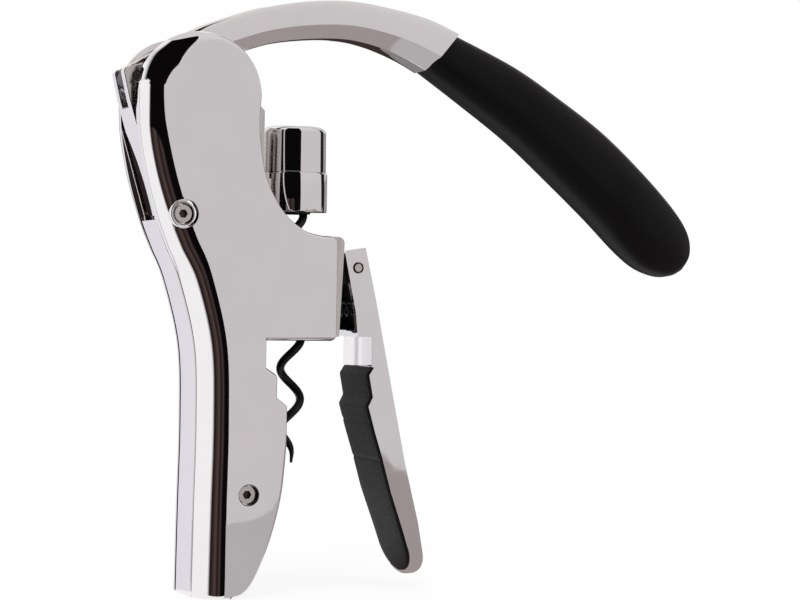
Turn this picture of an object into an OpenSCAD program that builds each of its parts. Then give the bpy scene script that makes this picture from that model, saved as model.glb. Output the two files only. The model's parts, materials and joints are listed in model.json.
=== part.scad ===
// Vertical lever corkscrew. Two plated shells carry a swinging link, a hand lever, a sliding
// carriage with the worm, a fixed worm nut and a sprung grip lever that holds the bottle's neck.
// Every piece is drawn with the worm's axis at x = 0, x to the right, z up and y = 0 in the
// middle plane. The finished part is moved so that the origin is in the middle of the foot.

/* [Body] */
// Width over both shells
body_w = 32; // [31:0.5:35]
// Thickness of the shell walls
wall = 2.5; // [2:0.1:2.8]
// Gap between the shells along the back
slot_w = 14; // [13.6:0.2:15]
// How far the back rounding reaches into the side face
round_in = 9.6; // [9:0.1:9.8]
// Distance from the middle of the foot to the worm's axis
foot_to_axis = 30; // [29.6:0.1:32]
// Radius of the round top of the shells
top_r = 19.4; // [19:0.1:20]
// Thickness of the bar that fills the gap along the back
spine_t = 6; // [5:0.5:7]
// Height of the top end of that bar
spine_top = 119.4; // [117:0.2:119.6]

/* [Block and jaws] */
// Height of the underside of the nut block
block_z = 82.2; // [81.8:0.1:83.2]
// Height of the top of the nut block
block_top = 115; // [114:0.5:116]
// Reach of the block in front of the worm's axis
block_front = 9.5; // [9:0.5:11]
// Radius of the jaws at the bottle's neck
neck_r = 15.2; // [14.8:0.1:15.6]
// Radius of the jaws at the ring below the lip
ring_r = 17.1; // [16.6:0.1:17.5]
// Radius of the jaws at the bottle's lip
lip_r = 19.7; // [19:0.1:20.3]

/* [Fasteners] */
// Diameter of the shell screws
screw_d = 3; // [2.5:0.1:3.4]
// Diameter of the screw heads
screw_head_d = 5.5; // [5:0.1:6]
// Height of the screw heads
screw_head_h = 3; // [2.5:0.1:3.4]
// Key size of the hexagon socket
screw_key = 2.5; // [2:0.1:3]
// Diameter of the round recess over each screw head
recess_d = 6.8; // [6.4:0.1:7.4]

/* [Link and lever] */
// Distance between the two pivots of the rear link
link_len = 44.5; // [43.5:0.1:45]
// Backward tilt of the link in degrees
link_tilt = 17; // [16:0.5:18]
// Width of the link across its cheeks
link_w = 12.8; // [12:0.1:13]
// Thickness of the link's cheeks
link_wall = 3.1; // [2.8:0.1:3.2]
// Thickness of the link's web
link_web = 2; // [1.6:0.1:2.2]
// Diameter of the pin between link and lever
link_pin_d = 3; // [2.6:0.1:3.4]
// Distance from the link pin to the drive pin
drive_arm = 28.8; // [28:0.1:29.2]
// Angle of the drive pin below level, in degrees
drive_dip = 38; // [37:0.5:39]
// Diameter of the drive pin
drive_pin_d = 4; // [3.4:0.1:4.4]
// Thickness of the lever's root plate
root_t = 6; // [5.4:0.2:6]
// Reach of the lever's arm from the link pin to the upper end of the grip's seam
arm_reach = 111.2; // [108.5:0.1:114.5]
// Height of the arm's arch above the link pin
arm_rise = 29.8; // [29:0.1:31]
// Reach of the grip beyond the seam
grip_reach = 96.5; // [92.5:0.1:102.5]
// Drop of the grip below the seam
grip_drop = 80.2; // [77:0.1:83]
// Width of the lever arm at the body
arm_w = 13; // [12:0.2:13.2]
// Width of the lever arm at the grip
arm_end_w = 18; // [16:0.5:20]
// Width of the grip at its thickest
grip_w = 23; // [21:0.5:26]

/* [Carriage] */
// Thickness of the carriage's side plates
plate_t = 3.2; // [2.8:0.1:3.4]
// Width of the side ribs that run in the guides
rib_w = 6; // [5:0.5:7]
// Height of the side ribs
rib_h = 2; // [1.6:0.1:2.2]
// Height of the carriage above the round cap
carriage_rise = 7; // [6.6:0.1:7.4]

/* [Worm] */
// Diameter of the worm's wire
wire_d = 2.7; // [2.4:0.1:3]
// Radius of the worm's coil at the middle of the wire
coil_r = 3.3; // [3.1:0.1:3.5]
// Rise of the worm in one turn
lead = 19.9; // [19:0.1:20.8]
// Height of the worm's tip
tip_z = 41.8; // [40:0.2:44]
// Diameter of the round cap over the worm's head
cap_d = 21; // [20:0.2:21.4]
// Height of the cap
cap_h = 15.1; // [14:0.1:16]
// Diameter of the collar under the cap
collar_d = 22; // [21.6:0.1:22.6]
// Height of the collar
collar_h = 12.6; // [12.2:0.1:13.4]
// Height of the collar above the nut block when the lever is down
collar_rise = 8.3; // [7.8:0.1:9]

/* [Grip lever] */
// Width of the grip lever
squeeze_w = 24; // [23:0.5:25]
// Thickness of its cheeks
cheek_t = 2; // [1.6:0.1:2.2]
// Diameter of its pivot pin
squeeze_pin_d = 3; // [2.6:0.1:3.4]
// Depth of the rubber pad in its pocket
pad_sink = 1.8; // [1.4:0.1:2]
// How far the rubber pad stands proud
pad_proud = 0.6; // [0.3:0.1:0.9]
// Outer diameter of the return spring
spring_d = 5; // [4.4:0.1:5.4]
// Diameter of the spring's wire
spring_wire = 0.7; // [0.6:0.05:0.8]
// Turns of the spring
spring_turns = 5; // [4:1:6]

/* [Clearances] */
// Gap between pieces that move past each other
run_gap = 0.3; // [0.25:0.05:0.35]
// Radial clearance of pins and shafts that turn
pin_gap = 0.06; // [0.04:0.01:0.08]
// Radial clearance of pieces that are pressed in place
seat_gap = 0.02; // [0.01:0.01:0.03]

/* [Hidden] */
$fn = 64;
chrome = [0.80, 0.80, 0.82];
steel = [0.66, 0.66, 0.68];
black = [0.09, 0.09, 0.10];
rubber = [0.17, 0.16, 0.17];
brass = [0.78, 0.62, 0.34];

// Layers outwards from the middle plane
face_y = body_w / 2;
shell_in = face_y - wall;
slot_y = slot_w / 2;
link_y = link_w / 2;
plate_y0 = arm_w / 2 + run_gap;
plate_y1 = plate_y0 + plate_t;
guide_y0 = plate_y1 + run_gap;
rib_y = plate_y1 + rib_h;

// Pivots and places in the middle plane, as [x, z]
link_foot = [-42.2, 121];
low_screw = [-19.6, 33.2];
link_head = link_foot + link_len * [-sin(link_tilt), cos(link_tilt)];
drive = link_head + drive_arm * [cos(drive_dip), -sin(drive_dip)];
squeeze_pivot = [18.3, 105.6];
shoulder = [-36.8, 158.6];
foot_z = 0.9;
foot_back = -35.9;
foot_front = -25.4;

// Sizes that follow from the ones above
boss_r = 4.6;
screw_r = screw_d / 2;
recess_r = recess_d / 2;
head_seat = 10;
insert_r = screw_r + 0.95;
insert_end = shell_in - 1.3;
bush_r = screw_r + 1.5;
collar_z = block_top + collar_rise;
seam_z = collar_z + collar_h;
cap_top = seam_z + cap_h;
eye_t = 4;
eye_z = seam_z - 6;
eye_top = eye_z + eye_t;
washer_t = 0.8;
hub_r = 4.15;
cup_r = coil_r + wire_d / 2 + 0.9;
jaw_step = [block_z, 81.5, 73.2, 70.7, 63.7, 61.1, 49];
carriage_front = -14.2;
carriage_z = 92;
carriage_top = cap_top + carriage_rise;
carriage_back = -36.6;
// Outer edge of the grip lever and the edge that its pad follows
back_line = [[20.8, 112.2], [24.9, 94.9], [27.9, 80.7], [32.1, 61.1], [36.3, 41.6], [41.4, 22],
    [43.7, 9.6]];
pad_line = [[24.6, 73.3], [22.9, 70.7], [24.3, 63.5], [22.8, 60.5], [25.2, 52.3], [27.9, 44.1],
    [31.3, 32.5], [35.6, 20.5], [38.6, 12], [41.3, 4.2]];
function squeeze_back(z) = lookup(z, [for (q = back_line) [q[1], q[0]]]);

// Curves
function spline(a, b, c, d, t) = 0.5 * (2 * b + (c - a) * t + (2 * a - 5 * b + 4 * c - d) * t * t
    + (3 * b - a - 3 * c + d) * t * t * t);
function smooth(p, n) = let (last = len(p) - 1) [
    for (i = [0 : last - 1])
        for (k = [0 : n - 1])
            spline(p[max(i - 1, 0)], p[i], p[i + 1], p[min(i + 2, last)], k / n),
    p[last]];
function ease(t) = let (u = max(0, min(1, t))) u * u * (3 - 2 * u);
function unit(v) = v / norm(v);
function flip(list) = [for (i = [len(list) - 1 : -1 : 0]) list[i]];
function inward(p, i) = let (t = unit(p[min(i + 1, len(p) - 1)] - p[max(i - 1, 0)])) [t[1], -t[0]];

// Back line of the body from the foot to the shoulder
spine_line = smooth([[foot_back, foot_z], [-35.6, 28], [-35.2, 56], [-36.2, 80], [-41.6, 101],
    [-45.7, 110.5], [-49.3, 120], [-53.1, 133], [-55.7, 147], [shoulder[0] - top_r, shoulder[1]]], 4);
arc_steps = 20;
function top_point(i) = let (a = 180 - 180 * i / arc_steps) shoulder + top_r * [cos(a), sin(a)];
top_line = [for (i = [1 : arc_steps]) top_point(i)];
// Front edge from the shoulder down to the block
front_line = smooth([[shoulder[0] + top_r, shoulder[1]], [-17.7, 148], [-15.4, 134], [-9.6, 123.2],
    [-2, 117], [4.5, block_top + 0.2]], 4);
jaw_x = [-sqrt(lip_r * lip_r - shell_in * shell_in), -sqrt(ring_r * ring_r - shell_in * shell_in),
    -sqrt(neck_r * neck_r - shell_in * shell_in)];
// Block, stepped jaw edges and the curve down to the foot
block_line = [[block_front - 1.2, block_top - 0.2], [block_front, block_top - 1.6],
    [block_front, block_z + 0.6], [block_front - 0.6, block_z], [jaw_x[0], block_z],
    [jaw_x[0], jaw_step[2]], [jaw_x[1], jaw_step[3]], [jaw_x[1], jaw_step[4]],
    [jaw_x[2], jaw_step[5]]];
low_line = smooth([[jaw_x[2], jaw_step[6]], [jaw_x[2] - 0.6, 41], [-8.6, 32.2], [-11.1, 21.8],
    [-14.3, 12.8], [-17.8, 5.6], [-21.2, 2.2], [foot_front, foot_z]], 2);

// Shell: each point of its edge carries [x, z, rounding depth, rim height, rim width]
front_lip = 0.6;
function fade(i) = max(0, 1 - i / (arc_steps * 0.83));
function round_at(z) = round_in - 3 * ease((z - 88) / 62);
rounded = concat(spine_line, top_line);
straight = concat([for (i = [1 : len(front_line) - 1]) front_line[i]], block_line, low_line);
function edge_share(i) = i < len(spine_line) ? 1 : fade(i - len(spine_line) + 1);
function shell_edge() = concat(
    [for (i = [0 : len(rounded) - 1]) let (s = edge_share(i), q = rounded[i])
        [q, i == 0 ? [1, 0] : inward(rounded, i),
        round_at(q[1]) * s, shell_in + (slot_y - shell_in) * s, front_lip + (wall - front_lip) * s]],
    [for (i = [0 : len(straight) - 1]) [straight[i], inward(straight, i), 0, shell_in, front_lip]]);
function ring_point(e, inset, y) = let (q = e[0] + e[1] * inset) [q[0], y, q[1]];
function outer_ring(edge, a) = [for (e = edge)
    ring_point(e, e[2] * (1 - cos(a)), e[3] + (face_y - e[3]) * sin(a))];
function inner_ring(edge, a) = [for (e = edge)
    ring_point(e, e[4] + max(e[2] - wall, 0.4) * (1 - cos(a)), e[3] + (shell_in - e[3]) * sin(a))];

// Triangles between the two sides of a closed ring, taken from its top point downwards
function ladder(left, right, q, i = 0, j = 0) = let (l = i < len(left) - 1, r = j < len(right) - 1)
    !l && !r ? [] : l && (!r || q[left[i + 1]][2] > q[right[j + 1]][2])
        ? concat([[left[i], right[j], left[i + 1]]], ladder(left, right, q, i + 1, j))
        : concat([[left[i], right[j], right[j + 1]]], ladder(left, right, q, i, j + 1));
function side_cap(q, top, base, turn) = let (t = ladder([for (i = [top : -1 : 0]) i],
    [for (i = [top + 1 : len(q) - 1]) i], q)) [for (f = t) let (g = turn ? flip(f) : f) g + base * [1, 1, 1]];

module loft(rings, top = -1) {
    n = len(rings[0]);
    m = len(rings);
    sides = [for (k = [0 : m - 2]) for (i = [0 : n - 1])
        let (j = (i + 1) % n, a = k * n + i, b = k * n + j, c = b + n, d = a + n)
        each [[a, b, c], [a, c, d]]];
    caps = top < 0 ? [[for (i = [n - 1 : -1 : 0]) i], [for (i = [0 : n - 1]) (m - 1) * n + i]]
        : concat(side_cap(rings[0], top, 0, true), side_cap(rings[m - 1], top, (m - 1) * n, false));
    polyhedron([for (r = rings) each r], concat(sides, caps), convexity = 10);
}

// Shapes that repeat
module from_foot() translate([foot_to_axis, 0, -foot_z]) children();
module at(p) translate([p[0], 0, p[1]]) children();
module across(r, y0, y1) translate([0, y1, 0]) rotate([90, 0, 0]) cylinder(r = r, h = y1 - y0);
module slab(y0, y1) translate([0, y1, 0]) rotate([90, 0, 0]) linear_extrude(y1 - y0) children();
module both_sides() {
    children();
    mirror([0, 1, 0]) children();
}
module shell_blank() {
    edge = shell_edge();
    loft(concat([for (a = [90 : -18 : 0]) outer_ring(edge, a)],
        [for (a = [0 : 45 : 90]) inner_ring(edge, a)]), len(spine_line) - 1 + arc_steps / 2);
    for (p = [link_foot, low_screw])
        at(p) across(boss_r, slot_y, face_y - 0.3);
}

module near_shell() color(chrome) from_foot() mirror([0, 1, 0]) difference() {
    shell_blank();
    for (p = [link_foot, low_screw]) {
        at(p) across(recess_r, head_seat, face_y + 1);
        at(p) across(screw_r + 0.1, slot_y - 1, head_seat + 1);
    }
}

module far_shell() color(chrome) from_foot() difference() {
    shell_blank();
    for (p = [link_foot, low_screw])
        at(p) across(insert_r + seat_gap, slot_y - 1, insert_end);
}

spine_below = [for (i = [0 : len(spine_line) - 1]) if (spine_line[i][1] < spine_top) i];
spine_cut = let (i = len(spine_below) - 1, a = spine_line[i], b = spine_line[i + 1])
    a + (b - a) * (spine_top - a[1]) / (b[1] - a[1]);
module spine_bar() color(chrome) from_foot() difference() {
    slab(-slot_y, slot_y) polygon(concat([for (i = spine_below) spine_line[i]], [spine_cut],
        [spine_cut + [spine_t, 0]],
        flip([for (i = spine_below) spine_line[i] + [spine_t, 0]])));
    at(link_foot) across(link_half + run_gap, -slot_y - 1, slot_y + 1);
}

plug_h = 4;
plug_z = foot_z + 0.7;
plug_y = shell_in - 1.8;
function spine_x(z) = lookup(z, [for (q = spine_line) [q[1], q[0]]]);
function spine_front(z) = spine_x(z) + spine_t + seat_gap;
module foot_plug() color(black) from_foot() slab(-plug_y, plug_y)
    polygon([[spine_front(plug_z), plug_z], [foot_front + 0.6, plug_z],
        [foot_front + 0.4 + plug_h, plug_z + plug_h], [spine_front(plug_z + plug_h), plug_z + plug_h]]);

saddle_top = jaw_step[1];
saddle_back = max([for (q = spine_line) if (q[1] < saddle_top) q[0]]) + round_in + 0.4;
module neck_saddle() color(rubber) from_foot() difference() {
    slab(-shell_in, shell_in) polygon(concat([[saddle_back, saddle_top], [jaw_x[0] - 0.6, saddle_top],
        [jaw_x[0] - 0.6, jaw_step[2] - 0.3], [jaw_x[1] - 0.6, jaw_step[3] - 0.3],
        [jaw_x[1] - 0.6, jaw_step[4] - 0.3], [jaw_x[2] - 0.6, jaw_step[5] - 0.3],
        [jaw_x[2] - 0.6, jaw_step[6]], [-9.4, 32], [-15.2, 12.6], [saddle_back, 12.6]]));
    translate([0, 0, jaw_step[2]]) cylinder(r = lip_r, h = saddle_top);
    translate([0, 0, jaw_step[4]]) cylinder(r = ring_r, h = saddle_top);
    cylinder(r = neck_r, h = saddle_top);
    at(low_screw) both_sides() across(boss_r + seat_gap, slot_y, face_y);
    at(low_screw) across(screw_r + 0.1, -face_y, face_y);
}

// Block that holds the worm nut and carries the grip lever on its nose
housing_back = carriage_front + 0.6;
housing_front = block_front + 3.2;
housing_low = housing_front - 1.4;
housing_z = block_z + 1;
housing_top = block_top + 0.4;
housing_round = 2.2;
nose_y = squeeze_w / 2 - cheek_t - run_gap;
nut_r = 8;
nut_top = 110;
spring_z = 92;
module nut_housing() color(steel) from_foot() difference() {
    union() {
        slab(-shell_in, shell_in) polygon(concat([[housing_back, housing_z], [housing_low, housing_z]],
            [for (a = [0 : 18 : 90]) [housing_front, housing_top] + housing_round * [cos(a) - 1, sin(a) - 1]],
            [[housing_back, housing_top]]));
        slab(-nose_y, nose_y) union() {
            polygon([[housing_front - 1, 98.6], [squeeze_pivot[0], squeeze_pivot[1] - nose_r],
                [squeeze_pivot[0] + nose_r, squeeze_pivot[1]], [squeeze_pivot[0] + 1.6, squeeze_pivot[1] + 3.2],
                [squeeze_pivot[0], squeeze_pivot[1] + 3.9], [housing_front - 1, squeeze_pivot[1] + 4.6]]);
            translate(squeeze_pivot) circle(r = nose_r);
        }
    }
    translate([0, 0, housing_z - 1]) cylinder(r = coil_r + wire_d / 2 + 0.9, h = block_top);
    translate([0, 0, housing_z - 1]) cylinder(r = nut_r + seat_gap, h = nut_top - housing_z + 1);
    translate([0, 0, housing_z - 1]) cylinder(r = nut_r + 1.5 + seat_gap, h = 4);
    at(squeeze_pivot) across(squeeze_pin_d / 2 + seat_gap, -face_y, face_y);
    translate([spring_seat, 0, spring_z]) rotate([0, 90, 0]) cylinder(r = spring_d / 2 + 0.2, h = 9);
}
nose_r = 3.4;
spring_seat = housing_low;

// Nut with two pairs of nibs that hold the worm's wire between them
turn_z = 63.7;
function coil_z(a) = turn_z + lead * (a / 360 + 1);
nib_r = 1.2;
nib_rise = (wire_d / 2 + nib_r + 0.4) / cos(atan(lead / (360 * coil_r * PI / 180)));
module worm_nut() color(black) from_foot() {
    difference() {
        union() {
            translate([0, 0, housing_z + 3]) cylinder(r = nut_r, h = nut_top - housing_z - 3);
            translate([0, 0, housing_z]) cylinder(r = nut_r + 1.5, h = 3);
        }
        translate([0, 0, housing_z - 1]) cylinder(r = coil_r + wire_d / 2 + 0.45, h = block_top);
    }
    for (a = [190, 370], s = [-1, 1])
        rotate([0, 0, a]) translate([coil_r - 0.6, 0, coil_z(a) + s * nib_rise])
            rotate([0, 90, 0]) cylinder(r = nib_r, h = nut_r - coil_r - 0.4);
}

// Grooved liners for the carriage's ribs
rib_x = -25;
guide_z = [106, carriage_top + 2];
module guide() slab(guide_y0, shell_in) difference() {
    polygon([[-31.5, guide_z[0]], [-31.5, guide_z[1]], [-18.6, guide_z[1]], [-18.6, guide_z[0]]]);
}
module guide_liner() difference() {
    guide();
    translate([rib_x - rib_w / 2 - run_gap, 0, guide_z[0] - 1])
        cube([rib_w + 2 * run_gap, rib_y + run_gap, guide_z[1] - guide_z[0] + 2]);
}
module near_guide() color(black) from_foot() mirror([0, 1, 0]) guide_liner();
module far_guide() color(black) from_foot() guide_liner();

module carriage_buffer() color(rubber) from_foot() translate([saddle_back + 0.3, -8, saddle_top])
    cube([-lip_r - saddle_back - 0.7, 16, carriage_z - saddle_top - run_gap]);

module shell_screws() color(steel) from_foot() for (p = [link_foot, low_screw]) at(p) difference() {
    union() {
        across(screw_head_d / 2, -head_seat - screw_head_h, -head_seat);
        across(screw_r - 0.05, -head_seat - 0.5, insert_end - 0.4);
    }
    translate([0, -head_seat - screw_head_h - 1, 0]) rotate([-90, 0, 0])
        cylinder(r = screw_key / sqrt(3), h = 1 + screw_head_h / 2, $fn = 6);
}

module thread_inserts() color(brass) from_foot() for (p = [link_foot, low_screw]) at(p) difference() {
    across(insert_r, slot_y, insert_end);
    across(screw_r, slot_y - 1, insert_end + 1);
}

module link_bush() color(brass) from_foot() at(link_foot) difference() {
    across(bush_r, -slot_y, slot_y);
    across(screw_r + 0.05, -slot_y - 1, slot_y + 1);
}

module squeeze_pin() color(steel) from_foot() at(squeeze_pivot)
    across(squeeze_pin_d / 2, -squeeze_w / 2 - 0.2, squeeze_w / 2 + 0.2);

// Return spring: one wire with a closing turn at each end
spring_x1 = squeeze_back(spring_z + spring_d / 2) - cheek_t - 0.1;
spring_len = spring_x1 - spring_seat - spring_wire - 0.1;
spring_r = (spring_d - spring_wire) / 2;
spring_rings = 8 * spring_turns;
function spring_at(i) = let (a = 45 * i) [spring_seat + 0.05 + spring_wire / 2 + spring_len * i / spring_rings,
    spring_r * cos(a), spring_z + spring_r * sin(a)];
function spring_out(i) = [0, cos(45 * i), sin(45 * i)];
spring_points = [for (i = [0 : spring_rings]) spring_at(i)];
spring_gap = min([for (i = [0 : spring_rings - 6]) for (j = [i + 6 : min(i + 10, spring_rings)])
    norm(spring_points[i] - spring_points[j])]) - spring_wire;
echo(spring_least_gap = spring_gap);
module squeeze_spring() color(steel) from_foot() loft([for (i = [0 : spring_rings])
    [for (k = [0 : 5]) let (a = -60 * k)
        spring_at(i) + spring_wire / 2 * (cos(a) * spring_out(i) + [sin(a), 0, 0])]]);

// Rear link: a channel with a barrel at its foot and two cheeks at its head
link_half = 5;
link_top = 4.3;
link_end = link_len + 3.6;
link_window = 8.6;
module in_link() at(link_foot) rotate([0, -link_tilt, 0]) children();
module rear_link() color(chrome) from_foot() in_link() difference() {
    union() {
        across(link_half, -link_y, link_y);
        slab(-link_y, link_y) polygon([[0.1 - link_half, -0.9], [-link_top - 0.3, link_len - 6],
            [0.3 - link_top, link_end - 0.8], [1.1 - link_top, link_end], [link_top - 1.6, link_end],
            [link_top - 0.2, link_end - 1.4], [link_top + 0.2, link_len - 6], [link_half - 0.4, 6],
            [link_half - 0.6, -2], [0, -2]]);
    }
    slab(-link_y + link_wall, link_y - link_wall) polygon([[-link_half + link_web, link_half + 1.5],
        [-link_half + link_web, link_len - link_window], [-9, link_len - link_window], [-9, link_len + 9],
        [9, link_len + 9], [9, link_half + 1.5]]);
    across(bush_r + pin_gap, -link_y - 1, link_y + 1);
    translate([0, 0, link_len]) across(link_pin_d / 2 + seat_gap, -link_y - 1, link_y + 1);
}

module link_pin() color(steel) from_foot() at(link_head) across(link_pin_d / 2, -link_y, link_y);

// Lever: each row gives the top and the bottom edge from the link pin, as shares of reach and rise
arm_shares = [[0.0827, 0.3356, 0.1277, 0.047], [0.17, 0.5503, 0.2266, 0.2215],
    [0.2662, 0.7047, 0.312, 0.3389], [0.3795, 0.8523, 0.411, 0.4631], [0.5189, 0.9631, 0.5279, 0.5369],
    [0.6502, 1, 0.6394, 0.5604], [0.7752, 0.9564, 0.7347, 0.5101], [0.9011, 0.8691, 0.8246, 0.406],
    [1, 0.731, 0.8975, 0.2852]];
arm_half = [arm_w / 2, arm_w / 2, arm_w / 2, arm_w / 2, arm_w / 2 + 0.2, arm_w / 2 + 0.6,
    (arm_w + arm_end_w) / 4, arm_end_w / 2 - 0.6, arm_end_w / 2];
arm_rows = [for (i = [0 : len(arm_shares) - 1]) let (q = arm_shares[i])
    [q[0] * arm_reach, q[1] * arm_rise, q[2] * arm_reach, q[3] * arm_rise, arm_half[i]]];
arm_stations = smooth(arm_rows, 3);
seam = arm_rows[len(arm_rows) - 1];
// Grip: the rows start at the seam, as shares of the grip's reach and drop
grip_shares = [[0.2404, 0.1158, 0.0622, 0.3015], [0.4248, 0.2392, 0.2435, 0.4437],
    [0.6031, 0.3713, 0.4145, 0.6058], [0.7772, 0.5384, 0.5752, 0.7654], [0.9151, 0.6906, 0.6943, 0.895],
    [0.9844, 0.7966, 0.7772, 0.9674], [1, 0.8863, 0.8622, 0.9998], [0.9782, 0.9524, 0.9223, 0.9936]];
grip_less = [1.4, 0.4, 0, 0, 1, 3, 5.6, 9];
grip_rows = concat([seam], [for (i = [0 : len(grip_shares) - 1]) let (q = grip_shares[i])
    [seam[0] + q[0] * grip_reach, seam[1] - q[1] * grip_drop, seam[0] + q[2] * grip_reach,
        seam[1] - q[3] * grip_drop, grip_w / 2 - grip_less[i]]]);
grip_stations = smooth(grip_rows, 3);
arm_section = [[-0.55, 0], [-1, 0.34], [-0.94, 0.86], [-0.7, 1], [0.7, 1], [0.94, 0.86], [1, 0.34], [0.55, 0]];
grip_sides = 14;
grip_section = [for (k = [0 : grip_sides - 1]) let (a = -90 - 360 * (k + 0.5) / grip_sides)
    [sign(cos(a)) * pow(abs(cos(a)), 0.8), 0.5 + 0.5 * sign(sin(a)) * pow(abs(sin(a)), 0.8)]];
function station_ring(s, section) = [for (q = section) [link_head[0] + s[2] + (s[0] - s[2]) * q[1],
    s[4] * q[0], link_head[1] + s[3] + (s[1] - s[3]) * q[1]]];
root_r = 4;
tang = [45, 8, 7];
tang_dip = 31;
seam_mid = [seam[0] + seam[2], seam[1] + seam[3]] / 2;
root_top = [arm_rows[1][0], arm_rows[1][1] - 0.2];
root_low = [arm_rows[1][2] - 0.2, arm_rows[1][3] + 0.2];
module in_tang() at(link_head + seam_mid) rotate([0, tang_dip, 0]) children();
module lever_arm() color(chrome) from_foot() difference() {
    union() {
        loft([for (s = arm_stations) station_ring(s, arm_section)]);
        slab(-root_t / 2, root_t / 2) union() {
            translate(link_head) circle(r = root_r);
            translate(drive) circle(r = root_r);
            polygon([link_head + [-2.2, 3.3], link_head + root_top, link_head + root_low,
                drive + [root_r, 0], drive, drive + root_r * [-sin(drive_dip), -cos(drive_dip)],
                link_head + root_r * [-sin(drive_dip), -cos(drive_dip)], link_head]);
        }
        in_tang() translate([-4, -tang[1] / 2, -tang[2] / 2]) cube(tang + [4, 0, 0]);
    }
    at(link_head) across(link_pin_d / 2 + pin_gap, -link_y, link_y);
    at(drive) across(drive_pin_d / 2 + seat_gap, -link_y, link_y);
}

module lever_grip() color(black) from_foot() difference() {
    loft([for (s = grip_stations) station_ring(s, grip_section)]);
    in_tang() translate([-4, -tang[1] / 2, -tang[2] / 2] - seat_gap * [0, 1, 1])
        cube(tang + [4.1, 2 * seat_gap, 2 * seat_gap]);
}

module drive_pin() color(steel) from_foot() at(drive)
    across(drive_pin_d / 2, rib_root - plate_y1 + run_gap, plate_y1 - rib_root - run_gap);

// Carriage: two plates with a window for the drive pin, a front wall and the eye for the worm
front_t = 3.7;
rib_root = 0.5;
window = [drive_pin_d + 10.8, drive_pin_d + 3.8];
module carriage() color(steel) from_foot() difference() {
    union() {
        both_sides() slab(plate_y0, plate_y1) difference() {
            polygon([[carriage_back, carriage_top - 8], [carriage_back + 8, carriage_top],
                [carriage_front - 3, carriage_top], [carriage_front, carriage_top - 3],
                [carriage_front, carriage_z], [-29, carriage_z], [-29, 106], [carriage_back, 128]]);
            translate(drive - (drive_pin_d / 2 + 0.4) * [1, 1]) square(window);
        }
        both_sides() translate([rib_x - rib_w / 2, plate_y1 - rib_root, carriage_z])
            cube([rib_w, rib_h + rib_root, carriage_top - 10 - carriage_z]);
        slab(-plate_y1, plate_y1) polygon([[carriage_front - front_t, carriage_z],
            [carriage_front - front_t, carriage_top], [carriage_front - 3, carriage_top],
            [carriage_front, carriage_top - 3], [carriage_front, carriage_z]]);
        translate([-29, -plate_y1, carriage_z]) cube([29 + carriage_front, 2 * plate_y1, 6]);
        translate([carriage_front - 1, -5, eye_z]) cube([1 - carriage_front, 10, eye_t]);
        translate([0, 0, eye_z]) cylinder(r = cap_d / 2 - 1.9, h = eye_t);
        translate([carriage_front - 1, -5, eye_z]) cube([5, 10, seam_z - eye_z]);
    }
    translate([0, 0, eye_z - 1]) cylinder(r = hub_r + pin_gap, h = eye_t + 2);
}

module worm_collar() color(chrome) from_foot() difference() {
    translate([0, 0, collar_z]) cylinder(r = collar_d / 2, h = collar_h);
    translate([0, 0, eye_z]) cylinder(r = cap_d / 2 - 1.8, h = collar_h);
    translate([0, 0, collar_z + 2]) cylinder(r = cap_d / 2 - 2.9, h = collar_h);
    translate([0, 0, collar_z - 1]) cylinder(r = cup_r + run_gap, h = collar_h);
    translate([-collar_d, -5.1, eye_z]) cube([collar_d, 10.2, collar_h]);
}

cap_round = 2.2;
module worm_cap() color(chrome) from_foot() rotate_extrude() difference() {
    union() {
        translate([0, seam_z]) square([cap_d / 2, cap_h - cap_round]);
        translate([0, seam_z]) square([cap_d / 2 - cap_round, cap_h]);
        translate([cap_d / 2 - cap_round, cap_top - cap_round]) intersection() {
            circle(r = cap_round);
            square(cap_round);
        }
        translate([cap_d / 2 - 3, eye_top]) square([1.1, seam_z - eye_top + 1]);
    }
    translate([-1, eye_top - 1]) square([cap_d / 2 - 2, cap_h - 0.4]);
}

module thrust_washers() color(steel) from_foot() for (z = [eye_z - washer_t, eye_top])
    translate([0, 0, z]) difference() {
        cylinder(r = 7, h = washer_t);
        translate([0, 0, -1]) cylinder(r = hub_r + run_gap, h = washer_t + 2);
    }

// Worm: a helix that bends to the axis and runs up into the hub
coil_top = collar_z - 0.5;
stem_z = collar_z + 4.2;
ring_step = 15;
function worm_angle(z) = 360 * (z - turn_z) / lead;
function worm_r(z) = coil_r * (1 - ease((z - coil_top) / (stem_z - coil_top))) 
    * (0.22 + 0.78 * ease((z - tip_z) / 12));
function worm_at(z) = [worm_r(z) * cos(worm_angle(z)), worm_r(z) * sin(worm_angle(z)), z];
function wire_r(z) = wire_d / 2 * (0.3 + 0.7 * ease((z - tip_z + 1) / 10));
worm_steps = ceil((stem_z - tip_z) / lead * 360 / ring_step);
worm_heights = concat([for (i = [0 : worm_steps]) tip_z + (stem_z - tip_z) * i / worm_steps],
    [stem_z + 1, eye_top + 1.8]);
wire_sides = 10;
function worm_ring(z) = let (t = unit(worm_at(z + 0.05) - worm_at(z - 0.05)),
    u = unit(cross([0, 0, 1], abs(t[2]) > 0.9999 ? [0, -1, 0] : cross(t, [0, 0, 1]))),
    a = unit(cross(t, [cos(worm_angle(z)), sin(worm_angle(z)), 0])), b = cross(t, a))
    [for (k = [0 : wire_sides - 1]) worm_at(z) + wire_r(z) * (cos(360 * k / wire_sides) * a
        + sin(360 * k / wire_sides) * b)];
module worm() color(black) from_foot() loft(flip([for (z = worm_heights) worm_ring(z)]));

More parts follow.
